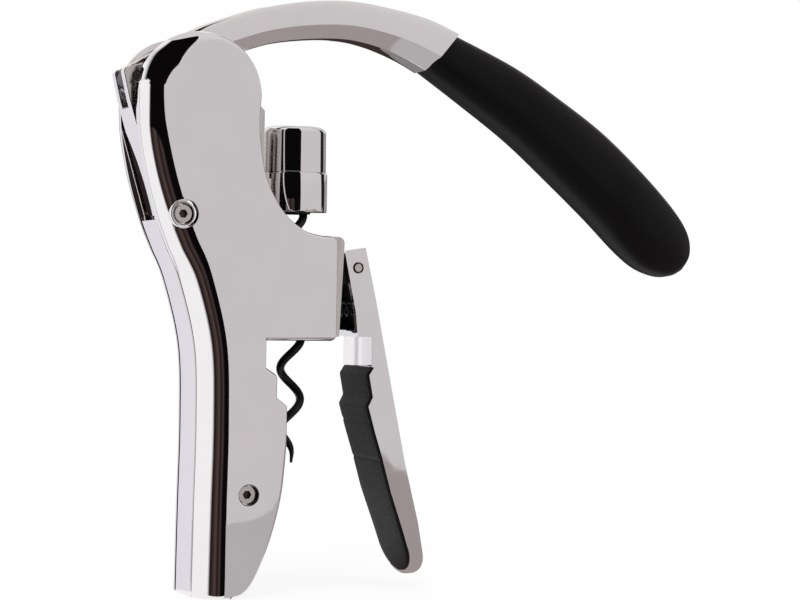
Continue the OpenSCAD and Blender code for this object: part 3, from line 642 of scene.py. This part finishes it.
class CORKSCREW_OT_shells(bpy.types.Operator):
    """Builds both shells with smooth roundings and screw recesses"""

    bl_idname = "corkscrew.shells"
    bl_label = "Shells"

    def execute(self, context):
        sizes = InMm(context.scene.corkscrew_sizes)
        chrome = material_of("chrome_plate")
        dark = material_of("black_oxide")
        near = piece("near_shell_plated", shell_mesh(sizes, -1), chrome)
        far = piece("far_shell_plated", shell_mesh(sizes, 1), chrome)
        self.bosses(near)
        # The rim of the lower recess is painted dark as painted shade at its mouth, and the lip beside the
        # housing is painted dark as painted shadow in the parting gap
        mouth = at(LOW_SCREW[0], -15.85, LOW_SCREW[1])
        mouth_r, rim_y = 3.42 * MM, -15.75 * MM
        paint(near, dark, lambda face: (face.center - mouth).length < mouth_r
              and face.center[1] < rim_y)
        seam = sizes.face_y - sizes.wall
        front = at(-20, 0, 0)[0]
        # Painted shadow: the lip beside the housing gets the dark finish
        for shell in (near, far):
            paint(shell, dark, lambda face: face.center[0] > front
                  and seam + 0.005 < abs(face.center[1]) / MM < seam + 0.125)
        stand_for(near, "near_shell", "body")
        stand_for(far, "far_shell", "body")
        return {"FINISHED"}

    def bosses(self, near):
        """Screw bosses: a bore with a seat for the head, the upper one with a flared mouth."""
        out_y, in_y = -17.0, -10.0
        cut(near, [drum("boss_tool", LINK_FOOT, 4.5, out_y, in_y),
                   drum("bore_tool", LOW_SCREW, 3.45, out_y, in_y)])
        bore = [(1.6, 7.5), (1.6, 10.0), (3.2, 10.0)]
        flared = [(3.2, 14.5), (3.35, 15.0), (3.9, 15.5), (4.2, 15.66), (4.45, 15.6), (4.6, 15.4),
                  (4.6, 7.5)]
        plain = [(3.2, 15.7), (3.5, 15.98), (4.4, 15.2), (4.4, 7.5)]
        bm = bmesh.new()
        bm.from_mesh(near.data)
        for spot, mouth in ((LINK_FOOT, flared), (LOW_SCREW, plain)):
            lathe(bm, bore + mouth, lambda a, b, h: at(spot[0] + a, -h, spot[1] + b), 64)
        bmesh.ops.remove_doubles(bm, verts=bm.verts, dist=SAME)
        bmesh.ops.recalc_face_normals(bm, faces=bm.faces)
        bm.to_mesh(near.data)
        bm.free()
        shade(near, 35)


class CORKSCREW_OT_spine(bpy.types.Operator):
    """Builds the strip that closes the back, with a slight crown across it"""

    bl_idname = "corkscrew.spine"
    bl_label = "Spine bar"

    def execute(self, context):
        sizes = InMm(context.scene.corkscrew_sizes)
        gap, depth, top = 0.06, 5.9, 119.4
        half = sizes.slot_y - gap
        path = [p for p in spine_path(sizes) if p[1] < top]
        rings = []
        for i, point in enumerate(path):
            normal = inward(path, i) if i else Vector((1, 0))
            ring = []
            for k in range(17):
                y = half * (k / 8 - 1)
                spot = point + normal * (0.1 + 0.15 * (y / half) ** 4)
                ring.append(at(spot[0], y, max(spot[1], FOOT_Z)))
            ring += [at(point[0] + depth, y, point[1]) for y in (half, -half)]
            rings.append(ring)
        bm = bmesh.new()
        loft(bm, rings)
        bar = piece("spine_bar_plated", bm, material_of("chrome_plate"))
        cut(bar, [drum("link_room", LINK_FOOT, 5.3, -8.0, 8.0)])
        shade(bar, 35)
        stand_for(bar, "spine_bar", "body")
        return {"FINISHED"}


# Sections of the arm and of the grip, from the link pin: top point, bottom point and half width
ARM = [(9.2, 10, 14.2, 1.4, 6.5), (18.9, 16.4, 25.2, 6.6, 6.5), (29.6, 21, 34.7, 10.1, 6.5),
       (42.2, 25.4, 45.7, 13.8, 6.5), (57.7, 28.7, 58.7, 16, 6.7), (72.3, 29.8, 71.1, 16.7, 7.1),
       (86.2, 28.5, 81.7, 15.2, 7.75), (100.2, 25.9, 91.7, 12.1, 8.4), (111.2, 21.78, 99.8, 8.5, 9.0)]
GRIP = [(111.2, 21.78, 99.8, 8.5, 9.0), (134.4, 12.5, 117.2, -2.4, 10.1), (152.2, 2.6, 134.7, -13.8, 11.1),
        (169.4, -8, 151.2, -26.8, 11.5), (186.2, -21.4, 166.7, -39.6, 11.5),
        (199.5, -33.6, 178.2, -50, 10.5), (206.2, -42.1, 186.2, -55.8, 8.5),
        (207.7, -49.3, 194.4, -58.4, 5.9), (205.6, -54.6, 200.2, -57.9, 2.5)]
# Middle of the drive pin's eye, from the link pin
DRIVE = (22.6947, -17.7311)


def station(row, section):
    """Ring of a lever section between its top and bottom points."""
    x1, z1, x0, z0, half = row
    out = []
    for y, f in section:
        out.append(at(LINK_HEAD[0] + x0 + (x1 - x0) * f, half * y, LINK_HEAD[1] + z0 + (z1 - z0) * f))
    return out


def both_halves(half):
    """Closed section from its right half, listed from the bottom to the top."""
    return half + [(-y, f) for y, f in reversed(half)]


class CORKSCREW_OT_lever(bpy.types.Operator):
    """Builds the plated arm of the lever and its rubber grip"""

    bl_idname = "corkscrew.lever"
    bl_label = "Lever"

    def execute(self, context):
        section = both_halves([
            (0.16, 0.0), (0.4, 0.004), (0.52, 0.02), (0.6, 0.07), (0.8, 0.205), (1.0, 0.34), (0.99, 0.48),
            (0.975, 0.62), (0.96, 0.74), (0.945, 0.84), (0.915, 0.92), (0.88, 0.95), (0.6, 0.985),
            (0.4, 0.996), (0.2, 1.0),
        ])
        bm = bmesh.new()
        loft(bm, [station(row, section) for row in smooth(ARM, 10)])
        self.root_plate(bm)
        arm = piece("lever_arm_plated", bm, material_of("chrome_plate"), 28)
        # Painted shade: the root plate inside the link's window gets the dark finish
        root_end = at(LINK_HEAD[0] + 3, 0, 0)[0]
        paint(arm, material_of("black_oxide"), lambda face: face.center[0] < root_end)
        stand_for(arm, "lever_arm", "lever")
        bm = bmesh.new()
        loft(bm, [station(row, self.grip_section()) for row in smooth(GRIP, 8)])
        grip = piece("lever_grip_rubber", bm, material_of("soft_grip"), 50)
        stand_for(grip, "lever_grip", "lever")
        return {"FINISHED"}

    def root_plate(self, bm):
        """Root of the arm: a flat plate from the link pin to the drive pin."""
        eye_r = 4
        middle = (13.0, -2.0)
        outline = [on_circle((0, 0), eye_r, math.radians(128 + 104 * k / 18)) for k in range(19)]
        outline += [on_circle(DRIVE, eye_r, math.radians(232 + 128 * k / 24)) for k in range(25)]
        outline += [(25, 6.8), (18.9, 16.2)]
        rings = []
        for y, inset in ((-3.0, 0.3), (-2.7, 0.0), (2.7, 0.0), (3.0, 0.3)):
            ring = []
            for x, z in outline:
                away = Vector((x - middle[0], z - middle[1]))
                spot = Vector((x, z)) - away.normalized() * inset
                ring.append(at(LINK_HEAD[0] + spot[0], y, LINK_HEAD[1] + spot[1]))
            rings.append(ring)
        loft(bm, rings)

    def grip_section(self):
        """Section of the grip, a little fuller than an ellipse."""
        sides, power = 48, 0.85
        section = []
        for k in range(sides):
            a = 2 * math.pi * (k + 0.5) / sides
            y, f = [math.copysign(abs(part) ** power, part) for part in (math.cos(a), math.sin(a))]
            section.append((y, 0.5 + 0.49 * f))
        return section


def tube(bm, points, radii, sides):
    """Round wire along points, turned as little as possible between them."""
    rings = []
    side = None
    last = len(points) - 1
    for i, point in enumerate(points):
        run = (points[min(i + 1, last)] - points[max(i - 1, 0)]).normalized()
        if side is None:
            side = run.orthogonal().normalized()
        side = (side - run * side.dot(run)).normalized()
        other = run.cross(side)
        turn = [2 * math.pi * k / sides for k in range(sides)]
        rings.append([point + (side * math.cos(a) + other * math.sin(a)) * radii[i] * MM for a in turn])
    loft(bm, rings)


class CORKSCREW_OT_worm(bpy.types.Operator):
    """Builds the coated worm with its pointed tip"""

    bl_idname = "corkscrew.worm"
    bl_label = "Worm"

    def execute(self, context):
        sizes = InMm(context.scene.corkscrew_sizes)
        tip, coil_top, stem = 41.8, 122.8, 127.5
        # Lengths over which coil and wire narrow to the tip, and a height at which the wire is in front
        coil_run, wire_run, phase = 12, 10, 63.7
        points, radii = [], []
        count = 240
        for i in range(count + 1):
            z = tip + (stem - tip) * i / count
            r = sizes.coil_r * (1 - ease((z - coil_top) / (stem - coil_top)))
            r *= 0.22 + 0.78 * ease((z - tip) / coil_run)
            a = 2 * math.pi * (z - phase) / sizes.lead
            points.append(at(r * math.cos(a), r * math.sin(a), z))
            radii.append(sizes.wire_r * (0.3 + 0.7 * ease((z - tip + 1) / wire_run)))
        for z in (128.3, 132.0, 135.7):
            points.append(at(0, 0, z))
            radii.append(sizes.wire_r)
        bm = bmesh.new()
        tube(bm, points, radii, 20)
        worm = piece("worm_coated", bm, material_of("black_coating"), 50)
        stand_for(worm, "worm", "screw")
        return {"FINISHED"}


class CORKSCREW_OT_cap(bpy.types.Operator):
    """Builds the turned cap and collar that carry the worm"""

    bl_idname = "corkscrew.cap"
    bl_label = "Cap and collar"

    def execute(self, context):
        sizes = InMm(context.scene.corkscrew_sizes)
        low, eye, seam, top = 123.3, 129.9, 135.9, 151.0
        chrome = material_of("chrome_plate")
        rim, round_r = sizes.cap_r, 2.2
        profile = [(7.5, 133.9), (8.6, 133.9), (8.6, seam), (rim - 0.3, seam), (rim, seam + 0.25),
                   (rim, seam + 1), (rim - 0.12, top - round_r)]
        for k in range(1, 10):
            profile.append(on_circle((rim - 2.32, top - round_r), round_r, math.radians(10 * k)))
        profile += [(rim - 4, top), (0.001, top), (0.001, 146.6), (7.5, 146.6)]
        bm = bmesh.new()
        lathe(bm, profile, at)
        cap = piece("worm_cap_plated", bm, chrome, 30)
        stand_for(cap, "worm_cap", "slider")
        rim = sizes.collar_r
        profile = [(5.85, low), (rim - 0.5, low), (rim - 0.12, low + 0.15), (rim, low + 0.5),
                   (rim, seam - 0.4), (rim - 0.12, seam - 0.15), (rim - 0.4, seam), (8.7, seam),
                   (8.7, eye), (7.6, eye), (7.6, low + 2), (5.85, low + 2)]
        bm = bmesh.new()
        lathe(bm, profile, at)
        collar = piece("worm_collar_plated", bm, chrome, 30)
        cut(collar, [box_tool("eye_slot", (-22, -5.1, eye), (0, 5.1, seam + 2))])
        shade(collar, 30)
        stand_for(collar, "worm_collar", "slider")
        return {"FINISHED"}


class CORKSCREW_OT_pins(bpy.types.Operator):
    """Finishes the screws and the pins: the screws' sockets and the grip lever pin's sides are painted
    black as painted shade round their bright ends
    """

    bl_idname = "corkscrew.pins"
    bl_label = "Screws and pins"

    def execute(self, context):
        self.screws()
        self.lever_pin()
        pivot = copy_of("link_pin", "link_pivot_pin")
        pivot.data.materials[0] = material_of("black_oxide")
        soften(pivot, 0.2)
        stand_for(pivot, "link_pin", "link")
        return {"FINISHED"}

    def screws(self):
        """Screws whose sockets are painted black as painted shade, and whose heads stand further out in
        their recesses.
        """
        screws = copy_of("shell_screws", "socket_screws")
        mesh = screws.data
        floor_y, head_y, forward = -11.3 * MM, -9.9 * MM, 1.2 * MM
        sockets = [at(p[0], -11.5, p[1]) for p in (LINK_FOOT, LOW_SCREW)]

        def in_socket(face):
            corners = [mesh.vertices[i].co for i in face.vertices]
            if max(corner[1] for corner in corners) >= floor_y:
                return False
            return any(all((c - spot).length < 2.15 * MM for c in corners) for spot in sockets)

        # Painted shade: the faces deep in each socket get the dark finish
        paint(screws, material_of("black_oxide"), in_socket)
        for vertex in mesh.vertices:
            if vertex.co[1] < head_y:
                vertex.co[1] -= forward
        soften(screws, 0.25)
        stand_for(screws, "shell_screws", "body")

    def lever_pin(self):
        """Pin of the grip lever, with bright ends; its sides and a thin flange in each groove are painted
        black as painted shade round each end.
        """
        end = [(0.001, 12.2), (1.26, 12.2), (1.36, 12.14), (1.42, 12.0), (1.42, 11.32), (1.84, 11.32),
               (1.84, 11.26), (1.5, 11.26)]
        profile = [(r, -h) for r, h in end] + list(reversed(end))
        bm = bmesh.new()
        lathe(bm, profile, lambda a, b, h: at(SQUEEZE[0] + a, h, SQUEEZE[1] + b), 48)
        pin = piece("grip_lever_pin", bm, material_of("machined_steel"), 30)
        # Painted shade: all faces but the end discs get the dark finish
        paint(pin, material_of("black_oxide"), lambda face: abs(face.normal[1]) < 0.9
              or abs(face.center[1]) < 12 * MM)
        stand_for(pin, "squeeze_pin", "body")


class CORKSCREW_OT_squeeze(bpy.types.Operator):
    """Finishes the plated grip lever, with a smooth lip seat and its hollow behind the spring painted
    black as painted shade
    """

    bl_idname = "corkscrew.squeeze"
    bl_label = "Grip lever"

    def execute(self, context):
        lever = copy_of("grip_lever", "grip_lever_plated")
        # No weld here, because the corners get normals of their own below
        lever.modifiers.clear()
        mesh = lever.data
        seat_z, lip_z, hollow_z, web_z = [at(0, 0, z)[2] for z in (73.5, 83.0, 85.0, 100.0)]
        web_half, cheek_y, seat_r = 10.05 * MM, 10.2 * MM, 26 * MM
        # The web's top edge rises along the slope of the back and closes the view past the nose
        for vertex in mesh.vertices:
            if abs(vertex.co[1]) < web_half and abs(vertex.co[2] - web_z) < 0.05 * MM:
                vertex.co += Vector((-0.28, 0, 1.2)) * MM
        # Painted shade: the inside of the hollow gets the dark finish
        paint(lever, material_of("black_oxide"), lambda face: abs(face.center[1]) < cheek_y
              and face.center[2] > hollow_z and face.normal[0] < 0.5)
        # The seat mirrors as one smooth hollow, not as facets
        seat = [face for face in mesh.polygons
                if seat_z < face.center[2] < lip_z and face.normal[0] < -0.5]
        normals = [corner.vector.copy() for corner in mesh.corner_normals]
        axis_x = max(mesh.vertices[i].co[0] for face in seat for i in face.vertices) - seat_r
        for face in seat:
            for corner in face.loop_indices:
                spot = mesh.vertices[mesh.loops[corner].vertex_index].co
                normals[corner] = Vector((axis_x - spot[0], -spot[1], 0)).normalized()
        mesh.normals_split_custom_set(normals)
        stand_for(lever, "grip_lever", "squeezer")
        return {"FINISHED"}


class CORKSCREW_OT_link(bpy.types.Operator):
    """Finishes the link, plated on its back and satin on its sides"""

    bl_idname = "corkscrew.link"
    bl_label = "Rear link"

    def execute(self, context):
        link = copy_of("rear_link", "rear_link_plated")
        paint(link, material_of("satin_steel"), lambda face: abs(face.normal[1]) > 0.9)
        soften(link, 0.4)
        stand_for(link, "rear_link", "link")
        return {"FINISHED"}


class CORKSCREW_OT_housing(bpy.types.Operator):
    """Finishes the nut housing, its nose between the cheeks of the grip lever painted black as painted
    shade
    """

    bl_idname = "corkscrew.housing"
    bl_label = "Nut housing"

    def execute(self, context):
        housing = copy_of("nut_housing", "nut_housing_satin")
        front = at(12.3, 0, 0)[0]
        # Painted shade: the nose gets the black plastic finish
        paint(housing, material_of("black_plastic"), lambda face: face.center[0] > front)
        soften(housing, 0.4)
        stand_for(housing, "nut_housing", "body")
        return {"FINISHED"}


# Front line of the pad from its top to its end, with the radius of each turn
PAD = [(24.6, 73.3, 0), (22.9, 70.7, 0.9), (24.3, 63.5, 1.2), (22.8, 60.5, 0.9), (25.2, 52.3, 3),
       (27.9, 44.1, 3), (31.3, 32.5, 6), (35.6, 20.5, 6), (38.6, 12, 6), (41.3, 4.2, 0)]


class CORKSCREW_OT_pad(bpy.types.Operator):
    """Builds the rubber pad of the grip lever: two ribs, two moulded seams and a rounded end"""

    bl_idname = "corkscrew.pad"
    bl_label = "Grip pad"

    def execute(self, context):
        half, end_half, low, rise = 11.5, 10.7, 5.1, 8.5
        top, step = 73.25, 0.5
        seams, seam_depth, seam_half = (55.4, 42.7), 0.3, 0.45
        proud, lip, depth, shoulder = 0.75, 0.85, 2.4, 1.05
        table = [(p[1], p[0]) for p in reversed(filleted(PAD))]
        rows = []
        for k in range(120):
            z = top - step * k
            rows.append((z, half + (end_half - half) * ease((34 - z) / 20)))
        for k in range(1, 19):
            a = math.radians(4.9 * k)
            rows.append((low + rise * (1 - math.sin(a)), end_half * math.cos(a)))
        rings = []
        for z, wide in rows:
            edge = min(0.7, 0.6 * wide)
            body = max(0.1, wide - shoulder)
            seam = sum(seam_depth * math.exp(-((z - line) / seam_half) ** 2) for line in seams)
            front = between(table, z) - proud + seam
            near = [(front + depth - seam, body), (front + lip, body), (front + lip, wide - 0.06)]
            for k in range(5):
                a = math.radians(22.5 * k)
                near.append((front + edge * (1 - math.sin(a)), wide - edge * (1 - math.cos(a))))
            flat = [(front - 0.12 * (1 - s * s), s * (wide - edge)) for s in (0.66, 0.33, 0, -0.33, -0.66)]
            far = [(x, -y) for x, y in reversed(near)]
            rings.append([at(x, y, z) for x, y in near + flat + far])
        bm = bmesh.new()
        loft(bm, rings)
        pad = piece("grip_pad_rubber", bm, material_of("rubber"), 40)
        stand_for(pad, "grip_pad", "squeezer")
        return {"FINISHED"}


class CORKSCREW_OT_spring(bpy.types.Operator):
    """Builds the return spring as a wire coil in the place of its node"""

    bl_idname = "corkscrew.spring"
    bl_label = "Spring"

    def execute(self, context):
        low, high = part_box("squeeze_spring")
        wire, turns, per_turn = 0.35, 5, 32
        coil = (high[2] - low[2]) / 2 / MM - wire
        middle = (high[2] + low[2]) / 2
        steps = per_turn * turns
        points = []
        for i in range(steps + 1):
            a = 2 * math.pi * i / per_turn
            x = low[0] + wire * MM + (high[0] - low[0] - 2 * wire * MM) * i / steps
            points.append(Vector((x, coil * MM * math.cos(a), middle + coil * MM * math.sin(a))))
        bm = bmesh.new()
        tube(bm, points, [wire] * len(points), 12)
        # The dark finish stands for black-oxide steel and also for painted shade of the gap the spring
        # sits in
        spring = piece("return_spring", bm, material_of("black_oxide"), 60)
        stand_for(spring, "squeeze_spring", "body")
        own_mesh(spring)
        return {"FINISHED"}


class CORKSCREW_OT_fittings(bpy.types.Operator):
    """Gives the remaining pieces their finishes, and the carriage and the neck saddle small edge roundings
    """

    bl_idname = "corkscrew.fittings"
    bl_label = "Fittings"

    def execute(self, context):
        shown = {o.get("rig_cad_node") for o in bpy.data.objects if not o.hide_render}
        edges = {"carriage": 0.4, "neck_saddle": 0.4}
        for name, obj in frame["nodes"].items():
            if name not in shown:
                continue
            coat(obj, name)
            if name in edges:
                soften(obj, edges[name])
        return {"FINISHED"}


class CORKSCREW_OT_studio(bpy.types.Operator):
    """Sets the camera, the floor, the soft lamps and the cards that the plating reflects"""

    bl_idname = "corkscrew.studio"
    bl_label = "Studio"

    def execute(self, context):
        self.camera(context)
        self.floor()
        self.world(context)
        self.room()
        self.table()
        self.lamp("soft_top", (-0.35, -0.7, 1.15), 1.1, 9.0)
        self.lamp("soft_right", (1.2, -0.7, 0.7), 0.9, 7.0)
        self.lamp("soft_back", (0.1, 1.1, 0.8), 1.0, 6.0)
        return {"FINISHED"}

    def camera(self, context):
        """Camera at the photo's place, with its lens and its slight roll."""
        roll, distance = math.radians(1.0), 0.636
        up = Vector((0, 0, 1))
        x = VIEW_RIGHT * math.cos(roll) + up * math.sin(roll)
        y = up * math.cos(roll) - VIEW_RIGHT * math.sin(roll)
        data = bpy.data.cameras.new("photo_camera")
        data.sensor_width = 36.0
        data.lens = 85.5
        data.clip_start = 0.01
        camera = show("photo_camera", data)
        spot = at(39.0, 0, 95.4) - VIEW_AHEAD * distance
        turn = Matrix((x, y, -VIEW_AHEAD)).transposed().to_4x4()
        camera.matrix_world = Matrix.Translation(spot) @ turn
        context.scene.camera = camera

    def floor(self):
        """Pale paper that looks white and keeps the tool's shadow."""
        radius, front, left, drop = 0.16, -0.022, -0.0123, 0.0005
        middle = Vector((0.11, 0, 0))
        bm = bmesh.new()
        rim = []
        for k in range(96):
            a = 2 * math.pi * k / 96
            spot = middle + radius * Vector((math.cos(a), math.sin(a), 0))
            # It ends close to the tool in front and at the left, where the plating mirrors the room
            spot += VIEW_AHEAD * max(0.0, front - spot.dot(VIEW_AHEAD))
            spot += VIEW_RIGHT * max(0.0, left - spot.dot(VIEW_RIGHT))
            rim.append(bm.verts.new(spot - middle))
        bm.faces.new(rim)
        bmesh.ops.recalc_face_normals(bm, faces=bm.faces)
        mesh = bpy.data.meshes.new("floor")
        bm.to_mesh(mesh)
        bm.free()
        floor = show("floor", mesh)
        floor.location = middle + Vector((0, 0, -drop))
        material, tree = blank("pale studio paper")
        place = add(tree, "ShaderNodeTexCoord").outputs["Object"]
        away = add(tree, "ShaderNodeVectorMath", {0: place}, operation="LENGTH")
        fade = {"From Min": 0.06, "From Max": 0.155, "To Min": 0.8, "To Max": 1.0}
        clear = add(
            tree, "ShaderNodeMapRange", {"Value": away.outputs["Value"], **fade},
            interpolation_type="SMOOTHSTEP",
        )
        share = add(
            tree, "ShaderNodeMath",
            {0: seen_directly(tree), 1: clear.outputs["Result"]}, operation="MULTIPLY",
        )
        grain = add(tree, "ShaderNodeTexNoise", {"Vector": place, "Scale": per(40), "Detail": 3.0})
        stops = [(0.3, linear("#F4F4F4")), (0.7, linear("#F8F8F8"))]
        tint = add(tree, "ShaderNodeValToRGB", {"Fac": grain.outputs["Fac"]}, stops)
        paper = add(tree, "ShaderNodeBsdfDiffuse", {"Color": tint.outputs["Color"]})
        glow = add(tree, "ShaderNodeEmission", {"Color": (1, 1, 1, 1), "Strength": 1.0})
        both = add(
            tree, "ShaderNodeMixShader",
            {0: share.outputs["Value"], 1: paper.outputs["BSDF"], 2: glow.outputs["Emission"]},
        )
        add(tree, "ShaderNodeOutputMaterial", {"Surface": both.outputs["Shader"]})
        mesh.materials.append(material)

    def world(self, context):
        """White ground for the camera and for mirrors, and a weaker soft light on the tool."""
        world = bpy.data.worlds.new("studio")
        context.scene.world = world
        world.use_nodes = True
        tree = world.node_tree
        tree.nodes.clear()
        level = add(
            tree, "ShaderNodeMapRange", {"Value": seen_directly(tree), "To Min": 0.55, "To Max": 1.0}
        )
        ground = {"Color": (1, 1, 1, 1), "Strength": level.outputs["Result"]}
        back = add(tree, "ShaderNodeBackground", ground)
        add(tree, "ShaderNodeOutputWorld", {"Surface": back.outputs["Background"]})
        context.scene.view_settings.view_transform = "Standard"

    def room(self):
        """Dome seen only in gloss, in columns by the angle from the camera's side and tiers by height."""
        dark, white, grey, brown = "#0B0909", "#FFFFFF", "#8A8688", "#3A302F"
        right, slit, wall = "#D1CDCE", "#141213", "#A09A9B"
        pale = ("#E6E4EB", "#EEECF2")
        rising = ("#EEECF2", white)
        falling = (white, "#C8C5CC")
        regained = ("#C8C5CC", white)
        # Each column: its two angles, then its tones from the floor up in four tiers. A pair holds the
        # tones at both sides, and a fifth tone is what the last tier reaches at its top
        columns = [
            (-180, -172, brown, brown, white, white),
            (-172, -148, grey, grey, grey, "#E6E1DE"),
            (-148, -124, ("#CECBD2", "#D4D1D8"), pale, pale, white),
            (-124, -114, rising, rising, rising, white),
            (-114, -106, falling, falling, falling, white),
            (-106, -98, regained, regained, regained, white),
            (-98, -40, white, white, white, white),
            (-40, -32, (white, "#140E0D"), (white, "#140E0D"), (white, dark), (white, dark)),
            (-32, -22, ("#140E0D", "#3E302F"), ("#140E0D", "#3E302F"), dark, dark),
            (-22, -14, ("#3E302F", "#52433F"), ("#3E302F", "#52433F"), dark, dark),
            (-14, -6, ("#52433F", "#1E1615"), ("#52433F", "#1E1615"), dark, dark),
            (-6, 2, ("#1E1615", "#473A3B"), ("#1E1615", "#473A3B"), dark, dark),
            (2, 9, ("#473A3B", "#0A0808"), ("#473A3B", "#0A0808"), dark, dark),
            (9, 28, dark, dark, dark, dark),
            (28, 123, right, right, right, right, "#E6E2E1"),
            (123, 134, slit, slit, slit, slit),
            (134, 172, wall, wall, wall, "#D2CDCA"),
            (172, 180, brown, brown, white, white),
        ]
        ceiling = [linear("#E0DCDD")] * 2
        bm = bmesh.new()
        layer = bm.loops.layers.float_color.new("tone")
        for start, end, *tones in columns:
            pairs = [(codes, codes) if isinstance(codes, str) else codes for codes in tones]
            low, below, level, *above = [[linear(code) for code in pair] for pair in pairs]
            tiers = [(-45, -18, low, low), (-18, -1, below, below), (-1, 12, level, level),
                     (12, 66, above[0], above[-1]), (66, 90, ceiling, ceiling)]
            for foot, head, under, over in tiers:
                self.patch(bm, layer, (start, end), (foot, head), under + over)
        self.card("gloss_room", bm)

    def patch(self, bm, layer, sides, heights, tones):
        """One patch of the dome, between two angles and two heights, blended from its four corners."""
        start, end = sides
        foot, head = heights
        camera_side, radius = -115, 1.1
        middle = Vector((0.03, 0, 0.095))
        wide = max(1, round((end - start) / 4))
        tall = max(1, round((head - foot) / 6))
        made = []
        for i in range(wide + 1):
            turn = math.radians(camera_side + start + (end - start) * i / wide)
            column = []
            for j in range(tall + 1):
                rise = math.radians(foot + (head - foot) * j / tall)
                flat = math.cos(rise)
                out = Vector((math.cos(turn) * flat, math.sin(turn) * flat, math.sin(rise)))
                column.append(bm.verts.new(middle + radius * out))
            made.append(column)
        corners = [Vector(c) for c in tones]
        for i in range(wide):
            for j in range(tall):
                spots = [(i, j), (i + 1, j), (i + 1, j + 1), (i, j + 1)]
                face = bm.faces.new([made[a][b] for a, b in spots])
                for loop, (a, b) in zip(face.loops, spots):
                    below = corners[0].lerp(corners[1], a / wide)
                    above = corners[2].lerp(corners[3], a / wide)
                    loop[layer] = below.lerp(above, b / tall)

    def table(self):
        """Two cards just above the floor, seen only in gloss, as the table that the plating mirrors."""
        height = 0.0003
        near = [(2.7, -16.5), (12.5, -214), (40, -208), (71, -202), (77, -204), (84, -209), (94, -222),
                (106, -242), (125, -284), (150, -284), (45, -17)]
        far = [(45, -17), (150, -284), (215, -420), (278, -530), (284, -509), (268, -466), (255, -431),
               (246, -405), (246, -396), (270, -380), (600, -380), (600, 20), (60, 20)]
        bm = bmesh.new()
        layer = bm.loops.layers.float_color.new("tone")
        for plan, code in ((near, "#BBB7B8"), (far, "#A59B9B")):
            face = bm.faces.new([bm.verts.new((x * MM, y * MM, height)) for x, y in plan])
            for loop in face.loops:
                loop[layer] = linear(code)
        self.card("gloss_table", bm)

    def card(self, name, bm):
        """Turns the mesh in hand into a surface that glows with its own tones and shows only in gloss."""
        mesh = bpy.data.meshes.new(name)
        bm.to_mesh(mesh)
        bm.free()
        card = show(name, mesh)
        material, tree = blank(name)
        tones = add(tree, "ShaderNodeVertexColor", layer_name="tone")
        glow = add(tree, "ShaderNodeEmission", {"Color": tones.outputs["Color"], "Strength": 1.0})
        add(tree, "ShaderNodeOutputMaterial", {"Surface": glow.outputs["Emission"]})
        mesh.materials.append(material)
        card.visible_camera = False
        card.visible_diffuse = False
        card.visible_shadow = False
        card.visible_transmission = False

    def lamp(self, name, spot, size, power):
        """Square soft lamp aimed at the tool, which mirrors don't show."""
        data = bpy.data.lights.new(name, "AREA")
        data.shape = "SQUARE"
        data.size = size
        data.energy = power
        lamp = show(name, data)
        lamp.location = spot
        aim = Vector((0.05, 0, 0.1)) - Vector(spot)
        lamp.rotation_euler = aim.to_track_quat("-Z", "Y").to_euler()
        lamp.visible_glossy = False


class CORKSCREW_PT_panel(bpy.types.Panel):
    """Lists the steps and the sizes of the corkscrew"""

    bl_idname = "CORKSCREW_PT_panel"
    bl_label = "Corkscrew"
    bl_space_type = "VIEW_3D"
    bl_region_type = "UI"
    bl_category = "Corkscrew"

    def draw(self, context):
        layout = self.layout
        for kind in STEPS:
            layout.operator(kind.bl_idname)
        for group in (context.scene.corkscrew_sizes, context.scene.corkscrew_colours):
            for key in fields(group):
                layout.prop(group, key)


STEPS = (CORKSCREW_OT_studio, CORKSCREW_OT_shells, CORKSCREW_OT_spine, CORKSCREW_OT_lever,
         CORKSCREW_OT_worm, CORKSCREW_OT_cap, CORKSCREW_OT_pins, CORKSCREW_OT_squeeze, CORKSCREW_OT_link,
         CORKSCREW_OT_housing, CORKSCREW_OT_pad, CORKSCREW_OT_spring, CORKSCREW_OT_fittings)
CLASSES = (CorkscrewSizes, CorkscrewColours) + STEPS + (CORKSCREW_PT_panel,)


def register():
    for kind in CLASSES:
        bpy.utils.register_class(kind)
    bpy.types.Scene.corkscrew_sizes = bpy.props.PointerProperty(type=CorkscrewSizes)
    bpy.types.Scene.corkscrew_colours = bpy.props.PointerProperty(type=CorkscrewColours)


def unregister():
    del bpy.types.Scene.corkscrew_colours
    del bpy.types.Scene.corkscrew_sizes
    for kind in reversed(CLASSES):
        bpy.utils.unregister_class(kind)


def main():
    register()
    bpy.ops.corkscrew.studio()
    bpy.ops.corkscrew.shells()
    bpy.ops.corkscrew.spine()
    bpy.ops.corkscrew.lever()
    bpy.ops.corkscrew.worm()
    bpy.ops.corkscrew.cap()
    bpy.ops.corkscrew.pins()
    bpy.ops.corkscrew.squeeze()
    bpy.ops.corkscrew.link()
    bpy.ops.corkscrew.housing()
    bpy.ops.corkscrew.pad()
    bpy.ops.corkscrew.spring()
    bpy.ops.corkscrew.fittings()


if __name__ == "__main__":
    main()
